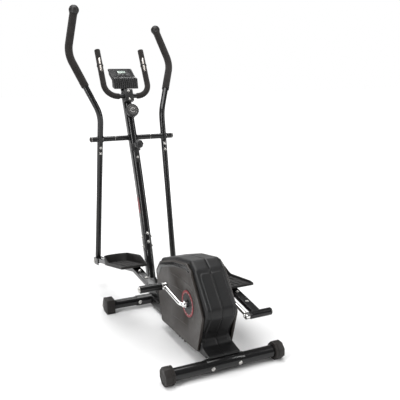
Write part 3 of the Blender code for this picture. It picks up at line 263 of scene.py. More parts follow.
def circle(radius, sides=28, squash=1.0):
    """Points round a circle, or an ellipse whose second axis is squashed."""
    return [(radius * math.cos(2 * math.pi * k / sides), radius * squash * math.sin(2 * math.pi * k / sides))
            for k in range(sides)]


def rounded(width, height, corner, steps=5):
    """A rectangle about the origin with rounded corners."""
    w, h = width / 2, height / 2
    return [tuple(p) for p in fillet_flat(((-w, -h), (w, -h), (w, h), (-w, h)), corner, steps)]


# ---- solid shapes, as bmesh
def loft(rings, caps=True, closed=True):
    """A skin through rings of the same number of points."""
    shape = bmesh.new()
    rows = [[shape.verts.new(p) for p in ring] for ring in rings]
    for low, high in zip(rows, rows[1:]):
        for i in range(0 if closed else 1, len(low)):
            shape.faces.new((low[i - 1], low[i], high[i], high[i - 1]))
    if caps:
        shape.faces.new(list(reversed(rows[0])))
        shape.faces.new(rows[-1])
    return shape


def sweep(path, section, up=(1, 0, 0), scales=None, caps=True):
    """A section of (across, beside) pairs carried along a path; across lies towards up."""
    path = [Vector(p) for p in path]
    up = Vector(up)
    rings = []
    for i, here in enumerate(path):
        ahead = path[min(i + 1, len(path) - 1)] - path[max(i - 1, 0)]
        ahead.normalize()
        across = (up - ahead * up.dot(ahead)).normalized()
        beside = ahead.cross(across)
        scale = scales[i] if scales else 1.0
        rings.append([here + (across * a + beside * b) * scale for a, b in section])
    return loft(rings, caps)


def bar(path, radius, up=(1, 0, 0), sides=28, lip=0.0):
    """A round bar along a path; lip rounds both of its ends."""
    if not lip:
        return sweep(path, circle(radius, sides), up)
    path = [Vector(p) for p in path]
    first = (path[1] - path[0]).normalized()
    last = (path[-1] - path[-2]).normalized()
    middle = [path[0] + first * lip] + path[1:-1] + [path[-1] - last * lip]
    turns = [k * math.pi / 8 for k in (3, 2, 1, 0)]
    depths = [lip * (1 - math.sin(t)) for t in turns]
    end_scales = [1 - lip / radius] + [1 - lip / radius * (1 - math.cos(t)) for t in turns[1:]]
    head = [path[0] + first * d for d in depths]
    tail = [path[-1] - last * d for d in reversed(depths)]
    scales = end_scales + [1.0] * len(middle) + end_scales[::-1]
    return sweep(head + middle + tail, circle(radius, sides), up, scales)


def frame_along(start, end):
    """A frame at start whose Z points at end."""
    start, end = Vector(start), Vector(end)
    return Matrix.Translation(start) @ (end - start).to_track_quat("Z", "Y").to_matrix().to_4x4()


def lathe(profile, place, segments=40):
    """A profile of (radius, height) pairs turned about Z of a frame, closed at both ends."""
    shape = bmesh.new()
    rows = []
    for radius, height in profile:
        if radius <= 0:
            rows.append([shape.verts.new(place @ Vector((0, 0, height)))])
            continue
        rows.append([shape.verts.new(place @ Vector((radius * math.cos(a), radius * math.sin(a), height)))
                     for a in (2 * math.pi * k / segments for k in range(segments))])
    for low, high in zip(rows, rows[1:]):
        for i in range(segments):
            bottom = [low[0]] if len(low) == 1 else [low[i - 1], low[i]]
            top = [high[0]] if len(high) == 1 else [high[i], high[i - 1]]
            shape.faces.new(bottom + top)
    for row in (rows[0], rows[-1]):
        if len(row) > 1:
            shape.faces.new(row)
    return shape


def spin(radii, start, end, segments=40):
    """A turned bar from start to end; radii are (share of the length, radius) pairs."""
    length = (Vector(end) - Vector(start)).length
    return lathe([(r, t * length) for t, r in radii], frame_along(start, end), segments)


def pipe(radius, start, end, edge=0.0006, segments=40):
    """A straight bar with softened ends."""
    length = (Vector(end) - Vector(start)).length
    profile = ((radius - edge, 0), (radius, edge), (radius, length - edge), (radius - edge, length))
    return lathe(profile, frame_along(start, end), segments)


def prism(outline, low, high, place, edge=0.001, steps=3):
    """An outline between two levels with rounded rims; place turns (a, b, level) into a point."""
    outline = [Vector(p) for p in outline]
    turns = [k / steps * math.pi / 2 for k in range(steps + 1)]
    lower = [(low + edge * (1 - math.cos(t)), edge * (1 - math.sin(t))) for t in turns]
    upper = [(high - edge * (1 - math.cos(t)), edge * (1 - math.sin(t))) for t in reversed(turns)]
    return loft([[place(p.x, p.y, level) for p in offset(outline, depth)] for level, depth in lower + upper])


def in_frame(matrix):
    """A place function whose outline lies in the frame's X and Y."""
    return lambda a, b, level: matrix @ Vector((a, b, level))


def side_on(a, b, level):
    """A place function whose outline lies in (Y, Z)."""
    return Vector((level, a, b))


def block(low, high, matrix=Matrix.Identity(4), edge=0.002):
    """A box with rounded edges between two corners of a frame."""
    shape = bmesh.new()
    low, high = Vector(low), Vector(high)
    bmesh.ops.create_cube(shape, size=1.0)
    bmesh.ops.scale(shape, vec=high - low, verts=shape.verts)
    bmesh.ops.translate(shape, vec=(high + low) / 2, verts=shape.verts)
    bmesh.ops.bevel(shape, geom=shape.edges[:], offset=edge, segments=3, profile=0.5, affect="EDGES")
    bmesh.ops.transform(shape, matrix=matrix, verts=shape.verts)
    return shape


def merged(shapes):
    """One shape from several, which are freed."""
    out = bmesh.new()
    for shape in shapes:
        mesh = bpy.data.meshes.new("part")
        shape.to_mesh(mesh)
        out.from_mesh(mesh)
        bpy.data.meshes.remove(mesh)
        shape.free()
    return out


WELD = 0.00005
FLAT_ANGLE = math.radians(0.5)
SHARP_ANGLE = math.radians(32.0)


def refined(node, edge):
    """A copy of a CAD node's shape with welded faces and softened edges."""
    shape = bmesh.new()
    shape.from_mesh(frame["nodes"][node].data)
    bmesh.ops.remove_doubles(shape, verts=shape.verts, dist=WELD)
    bmesh.ops.dissolve_limit(shape, angle_limit=FLAT_ANGLE, verts=shape.verts, edges=shape.edges)
    sharp = [e for e in shape.edges if len(e.link_faces) == 2 and e.calc_face_angle(0) > SHARP_ANGLE]
    bmesh.ops.bevel(shape, geom=sharp, offset=edge, segments=2, profile=0.5, affect="EDGES",
                    clamp_overlap=True)
    return shape


# ---- pieces
def placed(name, data):
    """A new object in the scene."""
    item = bpy.data.objects.new(name, data)
    bpy.context.scene.collection.objects.link(item)
    return item


def piece(name, shapes, surface, body, replaces=(), sharp=35.0):
    """One visible piece from one or more shapes, riding on a body; sharp is the crease angle in degrees."""
    shape = merged(shapes if isinstance(shapes, list) else [shapes])
    bmesh.ops.recalc_face_normals(shape, faces=shape.faces)
    mesh = bpy.data.meshes.new(name)
    shape.to_mesh(mesh)
    shape.free()
    mesh.materials.append(surface)
    mesh.shade_smooth()
    mesh.set_sharp_from_angle(angle=math.radians(sharp))
    item = placed(name, mesh)
    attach(item, body)
    if replaces:
        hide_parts(*replaces)
    return item


def walled(item, thickness):
    """Makes a skin into a wall of the thickness, inwards."""
    wall = item.modifiers.new("wall", "SOLIDIFY")
    wall.thickness = thickness
    wall.offset = -1.0


def dress(node, surface):
    """Gives a CAD node that stays its material."""
    data = frame["nodes"][node].data
    data.materials.clear()
    data.materials.append(surface)


BOLT_PROFILE = ((1.5, 0), (1.5, 0.001), (1.42, 0.0014), (1, 0.0014), (1, 0.0026), (0.86, 0.0042),
                (0.55, 0.0055), (0.3, 0.0058), (0.28, 0.0042), (0, 0.0042))     # (share of radius, height)


def bolt_shape(spot, out, radius=0.006):
    """A domed bolt head on a washer."""
    spot, out = Vector(spot), Vector(out).normalized()
    profile = [(radius * share, height) for share, height in BOLT_PROFILE]
    return lathe(profile, frame_along(spot, spot + out), 24)


def nut_shape(spot, out, radius=0.007, tall=0.006):
    """A hexagonal nut on a washer, with a thread end."""
    spot, out = Vector(spot), Vector(out).normalized()
    place = frame_along(spot, spot + out)
    washer = lathe(((radius * 1.35, 0), (radius * 1.35, 0.0012), (0, 0.0012)), place, 24)
    stud = lathe(((radius * 0.5, 0), (radius * 0.5, tall + 0.003), (radius * 0.4, tall + 0.004),
                  (0, tall + 0.004)), place, 16)
    return merged([washer, prism(circle(radius, 6), 0.0012, tall, in_frame(place), 0.0006, 2), stud])


def at_x(spot, x):
    """A place level with the spot at another X."""
    return Vector((x, spot.y, spot.z))


def way(matrix, x, y, z):
    """A direction of a frame."""
    return matrix.to_3x3() @ Vector((x, y, z))


def joint_at(name):
    return Vector(JOINTS[name]["pos_m"])


def middle_of(node):
    low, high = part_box(node)
    return (low + high) / 2


# ---- places that the pieces share
REAR_Y = joint_at("rear_cap_left_turn").y       # rear stabiliser; the housing's outlines start from it
AXIS_Z = joint_at("rear_cap_left_turn").z
FRONT_Y = middle_of("front_stabilizer").y
CRANK = joint_at("crank_spin")
AXLE = joint_at("lever_left_swing")
AXLE_X = abs(AXLE.x)
CROSS_R = 0.0145                # the tube across the post, and the levers' sleeves in line with it
POST_LEAN = 0.21
POST_BOW = 0.0987
POST_WIDTH = 0.044
POST_DEPTH = 0.06
POST_CORNER = 0.018
POST_JOINT_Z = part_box("front_post")[0].z


def post_y(z):
    """The post's curved centre line, through the lever axle."""
    return AXLE.y + POST_LEAN * (z - AXLE.z) + POST_BOW * (z * z - AXLE.z ** 2)


def post_frame(z):
    """A frame on the post's centre line: Y is forward and square to the post, Z runs up it."""
    lean = math.atan(POST_LEAN + 2 * POST_BOW * z)
    return Matrix.Translation((0, post_y(z), z)) @ Matrix.Rotation(-lean, 4, "X")


def lever_frame(side):
    """The lever's frame: origin on the axle, Z up along the lever."""
    top = joint_at(f"lever_{side}_swing")
    down = joint_at(f"pedal_{side}_pivot") - top
    return Matrix.Translation(top) @ Matrix.Rotation(math.atan2(down.y, -down.z), 4, "X")


def lever_length(side):
    return (joint_at(f"pedal_{side}_pivot") - joint_at(f"lever_{side}_swing")).length


def pin_at(side):
    """Centre of the pedal pin in (Y, Z), at the lever's X."""
    spot = middle_of(f"pedal_pin_{side}")
    return Vector((joint_at(f"pedal_{side}_pivot").x, spot.y, spot.z))


def pedal_frame(side):
    """The pedal arm's frame: origin at the lever's end, -Y towards the crank pin."""
    front = joint_at(f"pedal_{side}_pivot")
    run = pin_at(side) - front
    return Matrix.Translation(front) @ Matrix.Rotation(math.atan2(-run.z, -run.y), 4, "X")


def moved(matrix, points):
    return [matrix @ Vector(p) for p in points]


# ---- stabilisers and their caps
REAR_BOLT_X = (-0.066, 0.066)
REAR_BOLT_WAY = (0, -1, -0.12)
SEATED = 0.97           # share of a tube's radius at which a bolt's washer lies
TUBE_SIDES = 64
CAP_RIM = 0.0135        # length of the banded rim at a rear cap's mouth


def stabilisers():
    for name, y, bolts in (("rear_stabilizer", REAR_Y, REAR_BOLT_X), ("front_stabilizer", FRONT_Y, ())):
        low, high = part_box(name)
        radius = (high.z - low.z) / 2
        tube = pipe(radius, (low.x, y, AXIS_Z), (high.x, y, AXIS_Z), 0.001, TUBE_SIDES)
        piece(f"{name}_tube", tube, PAINT, "frame", [name])
        if bolts:
            seat = y - radius * SEATED
            heads = [bolt_shape((x, seat, AXIS_Z - 0.004), REAR_BOLT_WAY, 0.0062) for x in bolts]
            piece("rear_stabilizer_bolts", heads, ZINC, "frame")


def rear_caps():
    """Eight-sided cups with a banded rim and a recessed end."""
    for name, sign in SIDES:
        node = f"rear_leveling_cap_{name}"
        low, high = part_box(node)
        inner, outer = (high.x, low.x) if sign < 0 else (low.x, high.x)
        corner = (high.z - low.z) / 2 / math.cos(math.pi / 8)
        place = frame_along((inner, REAR_Y, AXIS_Z), (outer, REAR_Y, AXIS_Z))
        length = high.x - low.x
        turn = Matrix.Rotation(math.pi / 8, 2)
        flats = fillet_flat([tuple(turn @ Vector(p)) for p in circle(corner, 8)], 0.005, 4)
        levels = ((0.0, 0.0022), (0.0016, 0.0003), (0.0105, 0.0), (0.0112, 0.0012), (0.0128, 0.0012),
                  (CAP_RIM, 0.0), (length - 0.004, 0.0), (length - 0.0012, 0.0012), (length, 0.004),
                  (length, 0.0095), (length - 0.0015, 0.011))
        rings = [[place @ Vector((p.x, p.y, t)) for p in offset(flats, d)] for t, d in levels]
        piece(f"rear_cap_cup_{name}", loft(rings), CAP, f"rear_cap_{name}", [node])


END_RIDGES = (5, 0.014, 0.0125)         # how many ridges, the lowest one's height and their pitch
SIDE_RIDGES = (3, 0.012)                # how many, and their pitch


def front_caps():
    """Square cups with moulded ridges; the fork holds a small wheel."""
    for name, sign in SIDES:
        node = f"front_end_cap_{name}"
        low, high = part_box(node)
        outer = low.x if sign < 0 else high.x
        ridges = []
        count, lowest, pitch = END_RIDGES
        for k in range(count):
            z = lowest + k * pitch
            a, b = sorted((outer - sign * 0.003, outer + sign * 0.0014))
            ridges.append(block((a, low.y + 0.008, z), (b, low.y + 0.058, z + 0.005), edge=0.0012))
        count, pitch = SIDE_RIDGES
        for k in range(count):
            x = (low.x + high.x) / 2 - pitch + k * pitch
            ridges.append(block((x - 0.0022, low.y - 0.0012, 0.01), (x + 0.0022, low.y + 0.003, 0.066),
                                edge=0.001))
        piece(f"front_cap_cup_{name}", [refined(node, 0.0022)] + ridges, CAP, "frame", [node])
        wheel = f"transport_wheel_{name}"
        piece(f"transport_wheel_tyre_{name}", wheel_shape(wheel), PLASTIC, f"wheel_{name}", [wheel])
        hub = middle_of(wheel)
        heads = [bolt_shape(at_x(hub, x), (d, 0, 0), 0.0045) for x, d in ((low.x, -1), (high.x, 1))]
        piece(f"transport_wheel_bolt_{name}", heads, ZINC, "frame")


def wheel_shape(wheel):
    """A small wheel with a hub, a dished side and a rounded tread, over its node's box."""
    low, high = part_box(wheel)
    hub = middle_of(wheel)
    radius, wide = (high.z - low.z) / 2, high.x - low.x
    near = ((0.004, 0), (0.009, 0), (0.01, 0.0012), (radius * 0.72, 0.0012), (radius * 0.8, 0.0002),
            (radius * 0.96, 0.0008), (radius, 0.003))
    far = tuple((r, wide - depth) for r, depth in reversed(near))
    return lathe(near + far, frame_along(at_x(hub, low.x), at_x(hub, high.x)), 48)


# ---- base frame and post
SADDLE_BOLT_X = 0.094
POST_GAP = 0.004                # the collar's height at the joint
POST_LID = 0.012                # the lid's seat below the top of the post's box
POST_STEPS = 30
POST_BEAD = ((0, 0.0175), (0.35, 0.0182), (0.7, 0.0168), (1, 0.0146))
POST_BOLT_Z = (0.34, 0.385)    # on the rear face
POST_NUT_Z = (0.318, 0.368)     # on both sides
FLASH_Z = 0.5
FLASH_LENGTH = 0.092
FLASH_WIDTH = 0.013
FLASH_STEPS = 12


def base_frame():
    piece("base_frame_body", refined("base_frame", 0.0018), PAINT, "frame", ["base_frame"], 40)
    heads = [bolt_shape((sign * SADDLE_BOLT_X, FRONT_Y - 0.0285, AXIS_Z), (0, -1, 0), 0.0065)
             for _, sign in SIDES]
    piece("front_saddle_bolts", heads, ZINC, "frame")


def post():
    """The bowed post with its cross tube, weld beads, lid and joint collar."""
    low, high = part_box("front_post")
    low_z, high_z = POST_JOINT_Z + POST_GAP, high.z - POST_LID
    path = []
    for k in range(POST_STEPS + 1):
        z = low_z + (high_z - low_z) * k / POST_STEPS
        path.append((0, post_y(z), z))
    upright = sweep(path, rounded(POST_WIDTH, POST_DEPTH, POST_CORNER, 7))
    tube = pipe(CROSS_R, at_x(AXLE, low.x), at_x(AXLE, high.x), 0.001, 48)
    beads = []
    for _, sign in SIDES:
        x = sign * (POST_WIDTH / 2 + 0.0005)
        beads.append(spin(POST_BEAD, at_x(AXLE, x), at_x(AXLE, x + sign * 0.004), 40))
    lid = prism(rounded(POST_WIDTH + 0.001, POST_DEPTH + 0.001, POST_CORNER, 6), -0.001, 0.0035,
                in_frame(post_frame(high_z)), 0.0012)
    collar = prism(rounded(POST_WIDTH + 0.0016, POST_DEPTH + 0.0016, POST_CORNER, 6), 0.0, 0.003,
                   in_frame(post_frame(POST_JOINT_Z)), 0.0008)
    piece("post_tube", [upright, tube, lid, collar] + beads, PAINT, "frame", ["front_post"])
    heads = []
    for z in POST_BOLT_Z:
        spot = post_frame(z)
        heads.append(bolt_shape(spot @ Vector((0, -POST_DEPTH / 2 + 0.0004, 0)), way(spot, 0, -1, 0)))
    for z in POST_NUT_Z:
        for _, sign in SIDES:
            spot = post_frame(z) @ Vector((sign * (POST_WIDTH / 2 - 0.0003), -0.006, 0))
            heads.append(nut_shape(spot, (sign, 0, 0), 0.0065, 0.007))
    piece("post_bolts", heads, ZINC, "frame")
    stripe()


def stripe():
    """A generic red flash on the post's left side."""
    rows = []
    for k in range(FLASH_STEPS + 1):
        t = k / FLASH_STEPS
        spot = post_frame(FLASH_Z + FLASH_LENGTH * t)
        wide = FLASH_WIDTH * math.sin(math.pi * min(1.0, 0.12 + t * 0.88)) ** 0.6
        x = -POST_WIDTH / 2 - 0.0003
        rows.append([spot @ Vector((x, -0.004 - wide, 0)), spot @ Vector((x - 0.0003, -0.004, 0)),
                     spot @ Vector((x, -0.004 + wide * 0.7, 0)), spot @ Vector((x + 0.0015, -0.004, 0))])
    piece("post_flash", loft(rows), RED, "frame")


# ---- levers
LEVER_R = 0.0163
FOAM_R = 0.0212
LEVER_SPLIT = 0.026
LEVER_BENDS = ((0, 0, 0.139), (0.142, 0.158, 0.442), (0.096, 0.216, 0.642))
LEVER_BEND_R = 0.16
LEVER_EYE = 0.0165              # radius of the eye at the foot, and half its length
LEVER_BOLT_DOWN = (0.046, 0.079)
LEVER_BEAD = ((0, 0.0146), (0.4, 0.0176), (1, 0.015))
LEVER_SLEEVE_X = (0.1062, 0.2382)
FOAM_START = 0.46               # share of the first slope that stays bare
BALL_R = 0.0275
BALL_UP = 0.0205                # the ball's centre above the end of the foam
BALL_STEPS = 13
BALL_SKIRT = ((0.0005, 0.0003), (0.0016, 0.0016), (0.0016, 0.0052), (0.0006, 0.0066))


def lever_line(sign, start, first):
    """The lever's centre line in its own frame, from start through the bends from the first one on."""
    points = [start] + [(sign * x, y, z) for x, y, z in LEVER_BENDS[first:]]
    return fillet(points, LEVER_BEND_R, 16)


def levers():
    for name, sign in SIDES:
        local = lever_frame(name)
        body = f"lever_{name}"
        upper = bar(moved(local, lever_line(sign, (0, 0, -LEVER_SPLIT + 0.0003), 0)), LEVER_R, sides=36)
        lever_x = sign * AXLE_X
        left, right = sorted(sign * x for x in LEVER_SLEEVE_X)
        sleeve = pipe(CROSS_R, at_x(AXLE, left), at_x(AXLE, right), 0.001, 48)
        beads = [spin(LEVER_BEAD, at_x(AXLE, lever_x + d * 0.011), at_x(AXLE, lever_x + d * 0.0215), 40)
                 for d in (-1, 1)]
        piece(f"upper_lever_tube_{name}", [upper, sleeve] + beads, PAINT, body, [f"upper_lever_{name}"])
        foot = -lever_length(name)
        lower = pipe(LEVER_R, *moved(local, ((0, 0, -LEVER_SPLIT), (0, 0, foot + 0.004))), 0.0012, 48)
        eye = pipe(LEVER_EYE, *moved(local, ((-LEVER_EYE, 0, foot), (LEVER_EYE, 0, foot))), 0.0012, 40)
        piece(f"lower_lever_tube_{name}", [lower, eye], PAINT, body, [f"lower_lever_{name}"])
        heads = [bolt_shape(local @ Vector((0, -LEVER_R * SEATED, -down)), way(local, 0, -1, 0), 0.0055)
                 for down in LEVER_BOLT_DOWN]
        piece(f"lever_joint_bolts_{name}", heads, ZINC, body)
        lever_grip(name, sign, local, body)


def lever_grip(name, sign, local, body):
    """A foam sleeve with a rolled lower end, under a rubber ball."""
    bends = [Vector((sign * x, y, z)) for x, y, z in LEVER_BENDS]
    start = bends[0].lerp(bends[1], FOAM_START)
    line = moved(local, lever_line(sign, start, 1))
    first = (line[1] - line[0]).normalized()
    head = [line[0] + first * d for d in (0.0, 0.0012, 0.0035)]
    scales = [0.9, 0.965, 1.0] + [1.0] * (len(line) - 1)
    foam = sweep(head + line[1:], circle(FOAM_R, 36), (1, 0, 0), scales)
    piece(f"lever_grip_{name}", foam, FOAM, body, [f"lever_foam_{name}"])
    tip, heading = line[-1], (line[-1] - line[-2]).normalized()
    profile = [(FOAM_R + past, height) for past, height in BALL_SKIRT]
    start_turn = math.asin((FOAM_R + 0.001) / BALL_R)
    for k in range(BALL_STEPS):
        turn = start_turn + (math.pi - start_turn) * k / BALL_STEPS
        profile.append((BALL_R * math.sin(turn), BALL_UP - BALL_R * math.cos(turn)))
    profile.append((0.0, BALL_UP + BALL_R))
    piece(f"lever_knob_{name}", lathe(profile, frame_along(tip, tip + heading), 48), RUBBER, body,
          [f"lever_ball_{name}"])


AXLE_WASHER_X = (0.104, 0.2384)
AXLE_WASHER_R = 0.0158
AXLE_WASHER_WIDE = 0.002
AXLE_DOME_X = 0.2404
AXLE_DOME = ((0.015, 0), (0.015, 0.0016), (0.014, 0.003), (0.013, 0.005), (0.0105, 0.0074),
             (0.007, 0.009), (0.0035, 0.0097), (0, 0.0098))


def axle():
    """The axle ends: bright washers and domed caps."""
    dress("lever_axle", STEEL)
    for name, sign in SIDES:
        washers = []
        for x in AXLE_WASHER_X:
            ends = (at_x(AXLE, sign * x), at_x(AXLE, sign * (x + AXLE_WASHER_WIDE)))
            washers.append(pipe(AXLE_WASHER_R, *ends, 0.0003, 40))
        piece(f"axle_washers_{name}", washers, ZINC, "frame")
        place = frame_along(at_x(AXLE, sign * AXLE_DOME_X), at_x(AXLE, sign * (AXLE_DOME_X + 1)))
        piece(f"axle_dome_{name}", lathe(AXLE_DOME, place), CAP, "frame", [f"axle_cap_{name}"])


# ---- crank and drive
CRANK_HUB_X = 0.097
CRANK_CORNER_X = 0.1185
CRANK_EYE_X = (0.128, 0.145)
CRANK_EYE_R = 0.0158
CRANK_BAR_R = 0.0092
CRANK_BEND_R = 0.03
COLLAR_X = (0.0965, 0.113)
COLLAR = ((0, 0.0165), (0.25, 0.0165), (0.32, 0.014), (0.8, 0.0125), (1, 0.0095))


def cranks():
    """Bent bars with a collar at the hub and an eye at the pedal pin; the drive inside keeps its shape."""
    eye_low, eye_high = CRANK_EYE_X
    for name, sign in SIDES:
        pin = pin_at(name)
        eye = (eye_low + eye_high) / 2
        points = (at_x(CRANK, sign * CRANK_HUB_X), at_x(CRANK, sign * CRANK_CORNER_X), at_x(pin, sign * eye))
        beside = Vector((1, 0, 0)).cross(Vector((0, pin.y - CRANK.y, pin.z - CRANK.z))).normalized()
        arm = bar(fillet(points, CRANK_BEND_R, 14), CRANK_BAR_R, beside, 32)
        boss = pipe(CRANK_EYE_R, at_x(pin, sign * eye_low), at_x(pin, sign * eye_high), 0.0014, 48)
        collar = spin(COLLAR, *(at_x(CRANK, sign * x) for x in COLLAR_X), 48)
        nut = nut_shape(at_x(pin, sign * eye_low), (-sign, 0, 0), 0.009, 0.006)
        piece(f"crank_bar_{name}", [arm, boss, collar, nut], CHROME, "crankset", [f"crank_{name}"])
    for node, surface in (("crank_axle", STEEL), ("drive_pulley", PLASTIC), ("flywheel", IRON),
                          ("flywheel_axle", STEEL), ("drive_belt", BELT), ("magnet_bracket", STEEL),
                          ("crank_bearing_left", STEEL), ("crank_bearing_right", STEEL)):
        dress(node, surface)


# ---- pedals
ARM_LENGTH = 0.96
ARM_FRONT = (0.035, 0.0105)
ARM_KNEE = (0.735, 0.054)
ARM_SECTION = (0.036, 0.026, 0.004)     # width, height and corner of the long tube
SLOPE_SECTION = (0.041, 0.022, 0.0035)
SLOPE_BOLTS = (0.2, 0.62)              # shares of the slope
TRAY_NUTS = (0.66, 0.94)                # shares of the long tube
SLEEVE_R = 0.0175
SLEEVE_X = (0.1515, 0.259)
FORK_X = (0.0173, 0.0223)
PIVOT_REACH = 0.0225
PIN_R = 0.008
PIN_SHANK_X = 0.1522
PIN_DOME_X = 0.2592
PIN_DOME = ((0.0135, 0), (0.0135, 0.0016), (0.0118, 0.0022), (0.0112, 0.0052), (0.008, 0.0078),
            (0.0035, 0.009), (0, 0.0092))
TRAY_INNER = 0.1465
TRAY_OUTER = 0.282
TRAY_LENGTH = 0.33
TRAY_NOSE = 0.045
TRAY_FLOOR = 0.006
TRAY_RIM = 0.044
TRAY_OUTER_RIM = 0.012
TRAY_OPEN = 0.78        # share of the sides along which the outer rim stays low
TRAY_CORNER = 0.35      # share of the nose by which it has risen to the full height
TRAY_HEEL = 0.006
TRAY_HIGH = 0.34        # share of the sides where the rim reaches its full height
TRAY_REAR = 0.775
TRAY_FRONT = TRAY_LENGTH - TRAY_NOSE
TRAY_HALF = (TRAY_OUTER - TRAY_INNER) / 2
TRAY_RIBS = 0.72        # where the ribs underneath run, as a share of the half width
TRAY_PROFILE = ((0.0035, 0.0, 0.0), (0.0008, 0.0015, 0.0), (0.0003, 0.006, 0.0), (0.0, 0.0, 0.86),
                (0.0, 0.0, 0.97), (0.0012, 0.0, 1.0), (0.0036, 0.0, 1.0), (0.0048, 0.0, 0.96),
                (0.0052, 0.0, 0.8), (0.0062, TRAY_FLOOR + 0.003, 0.0),
                (0.0085, TRAY_FLOOR, 0.0))      # (inset, height, share of the rim's height)
TILE_ROWS = 8
TILE_COLUMNS = 4
TILE_GROOVE = 0.004
TILE_HIGH = 0.003
TILE_CORNER = 0.0025
TILE_START = 0.01
TILE_WAVE = 0.006
TILE_LEAST = 0.00018    # tiles that the nose clips to less than this area are left out


def arm_point(rearward, up):
    """A point of the arm's middle plane in the arm's frame."""
    return Vector((0, -rearward, up))


KNEE, TOE = arm_point(*ARM_KNEE), arm_point(*ARM_FRONT)
ARM_SHORT = (PIN_R + SLEEVE_R) / 2      # the slope ends inside the pin's sleeve
ARM_REAR = arm_point(ARM_LENGTH - ARM_SHORT, ARM_SHORT * ARM_KNEE[1] / (ARM_LENGTH - ARM_KNEE[0]))


def pedals():
    for name, sign in SIDES:
        local = pedal_frame(name)
        body = f"pedal_{name}"
        pin = pin_at(name)
        main = sweep(moved(local, (TOE, KNEE + (KNEE - TOE).normalized() * 0.004)), rounded(*ARM_SECTION))
        slope = sweep(moved(local, (KNEE + Vector((0, 0.012, 0)), ARM_REAR)), rounded(*SLOPE_SECTION))
        left, right = sorted(sign * x for x in SLEEVE_X)
        sleeve = pipe(SLEEVE_R, at_x(pin, left), at_x(pin, right), 0.0014, 48)
        fork = []
        for d in (-1, 1):
            x0, x1 = sorted(d * x for x in FORK_X)
            fork.append(block((x0, -0.075, -0.016), (x1, 0.016, 0.026), local, 0.0022))
        fork.append(block((-0.0198, -0.071, -0.004), (0.0198, -0.034, 0.022), local, 0.0015))
        piece(f"pedal_arm_tube_{name}", [main, slope, sleeve] + fork, PAINT, body, [f"pedal_arm_{name}"])
        low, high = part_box(f"pedal_pin_{name}")
        inner = low.x if sign > 0 else high.x
        place = frame_along(at_x(pin, sign * PIN_DOME_X), at_x(pin, sign * (PIN_DOME_X + 1)))
        shank = pipe(PIN_R, at_x(pin, inner), at_x(pin, sign * PIN_SHANK_X), 0.0008, 32)
        piece(f"pedal_pin_bolt_{name}", [lathe(PIN_DOME, place), shank], ZINC, body, [f"pedal_pin_{name}"])
        front = joint_at(f"pedal_{name}_pivot")
        reach = Vector((PIVOT_REACH, 0, 0))
        pivot = [pipe(PIN_R, front - reach, front + reach, 0.0006, 32),
                 bolt_shape(front + reach * sign, (sign, 0, 0), 0.0085),
                 nut_shape(front - reach * sign, (-sign, 0, 0), 0.0085, 0.0065)]
        piece(f"lever_pivot_{name}", pivot, ZINC, body, [f"lever_pivot_bolt_{name}"])
        slope_bolts(name, local, body)
        foot_tray(name, sign, local, body)


def slope_bolts(name, local, body):
    """Two domed bolts on the sloping section, and nuts under the tray."""
    up = square_up(KNEE, ARM_REAR)
    heads = [bolt_shape(local @ (KNEE.lerp(ARM_REAR, t) + up * 0.0108), way(local, *up), 0.0058)
             for t in SLOPE_BOLTS]
    down = -square_up(TOE, KNEE)
    heads += [nut_shape(local @ (TOE.lerp(KNEE, t) + down * 0.013), way(local, *down), 0.006, 0.005)
              for t in TRAY_NUTS]
    piece(f"pedal_arm_bolts_{name}", heads, ZINC, body)


def square_up(start, end):
    """The upward direction square to a run in the arm's middle plane."""
    run = end - start
    up = Vector((0, -run.z, run.y)).normalized()
    return up if up.z > 0 else -up


def tray_outline(half, nose, front):
    """Round nose, straight sides and a straight back, with points on all of them."""
    turns = [k * math.pi / 28 for k in range(29)]
    bulge = [(half * math.cos(turn), front + nose * math.sin(turn)) for turn in turns]
    straight = [(-half, front * (1 - k / 10)) for k in range(1, 11)]
    back = [(half * (k / 5 - 1), 0.0) for k in range(1, 10)]
    other = [(half, front * k / 10) for k in range(10)]
    return [Vector(p) for p in bulge + straight + back + other]


def rim_height(outward, y):
    """The rim above the tray's floor: full at the toe and the inner side, low along the outer side."""
    inner = TRAY_HEEL + (TRAY_RIM - TRAY_HEEL) * smooth(y / (TRAY_FRONT * TRAY_HIGH))
    corner = TRAY_FRONT * (1 - TRAY_OPEN) + TRAY_NOSE * TRAY_CORNER
    outer = TRAY_OUTER_RIM + (TRAY_RIM - TRAY_OUTER_RIM) * smooth((y - TRAY_FRONT * TRAY_OPEN) / corner)
    return inner + (min(inner, outer) - inner) * smooth((outward / TRAY_HALF - 0.45) / 0.4)


def foot_tray(name, sign, local, body):
    """A moulded tray: rolled rim, tiled tread and a ribbed underside."""
    rise = math.atan2(ARM_KNEE[1] - ARM_FRONT[1], ARM_KNEE[0] - ARM_FRONT[0])
    seat = ARM_FRONT[1] + (TRAY_REAR - ARM_FRONT[0]) * math.tan(rise) + 0.013 / math.cos(rise)
    middle = (TRAY_INNER + TRAY_OUTER) / 2
    place = local @ Matrix.Translation((sign * (middle - AXLE_X), -TRAY_REAR, seat + 0.0003)) \
        @ Matrix.Rotation(-rise, 4, "X")
    outline = tray_outline(TRAY_HALF, TRAY_NOSE, TRAY_FRONT)
    rings = []
    for depth, base, share in TRAY_PROFILE:
        ring = []
        for p, q in zip(outline, offset(outline, depth)):
            height = base + share * (TRAY_FLOOR + rim_height(sign * p.x, p.y))
            ring.append(place @ Vector((q.x, q.y, height)))
        rings.append(ring)
    pads = tread_pads(place, TRAY_HALF - 0.0105, TRAY_NOSE - 0.01)
    ribs = [block((x - 0.001, 0.02, -0.0035), (x + 0.001, TRAY_FRONT, 0.0012), place, 0.0005)
            for x in (-TRAY_HALF * TRAY_RIBS, TRAY_HALF * TRAY_RIBS)]
    piece(f"foot_tray_shell_{name}", [loft(rings)] + pads + ribs, TREAD, body, [f"foot_tray_{name}"])


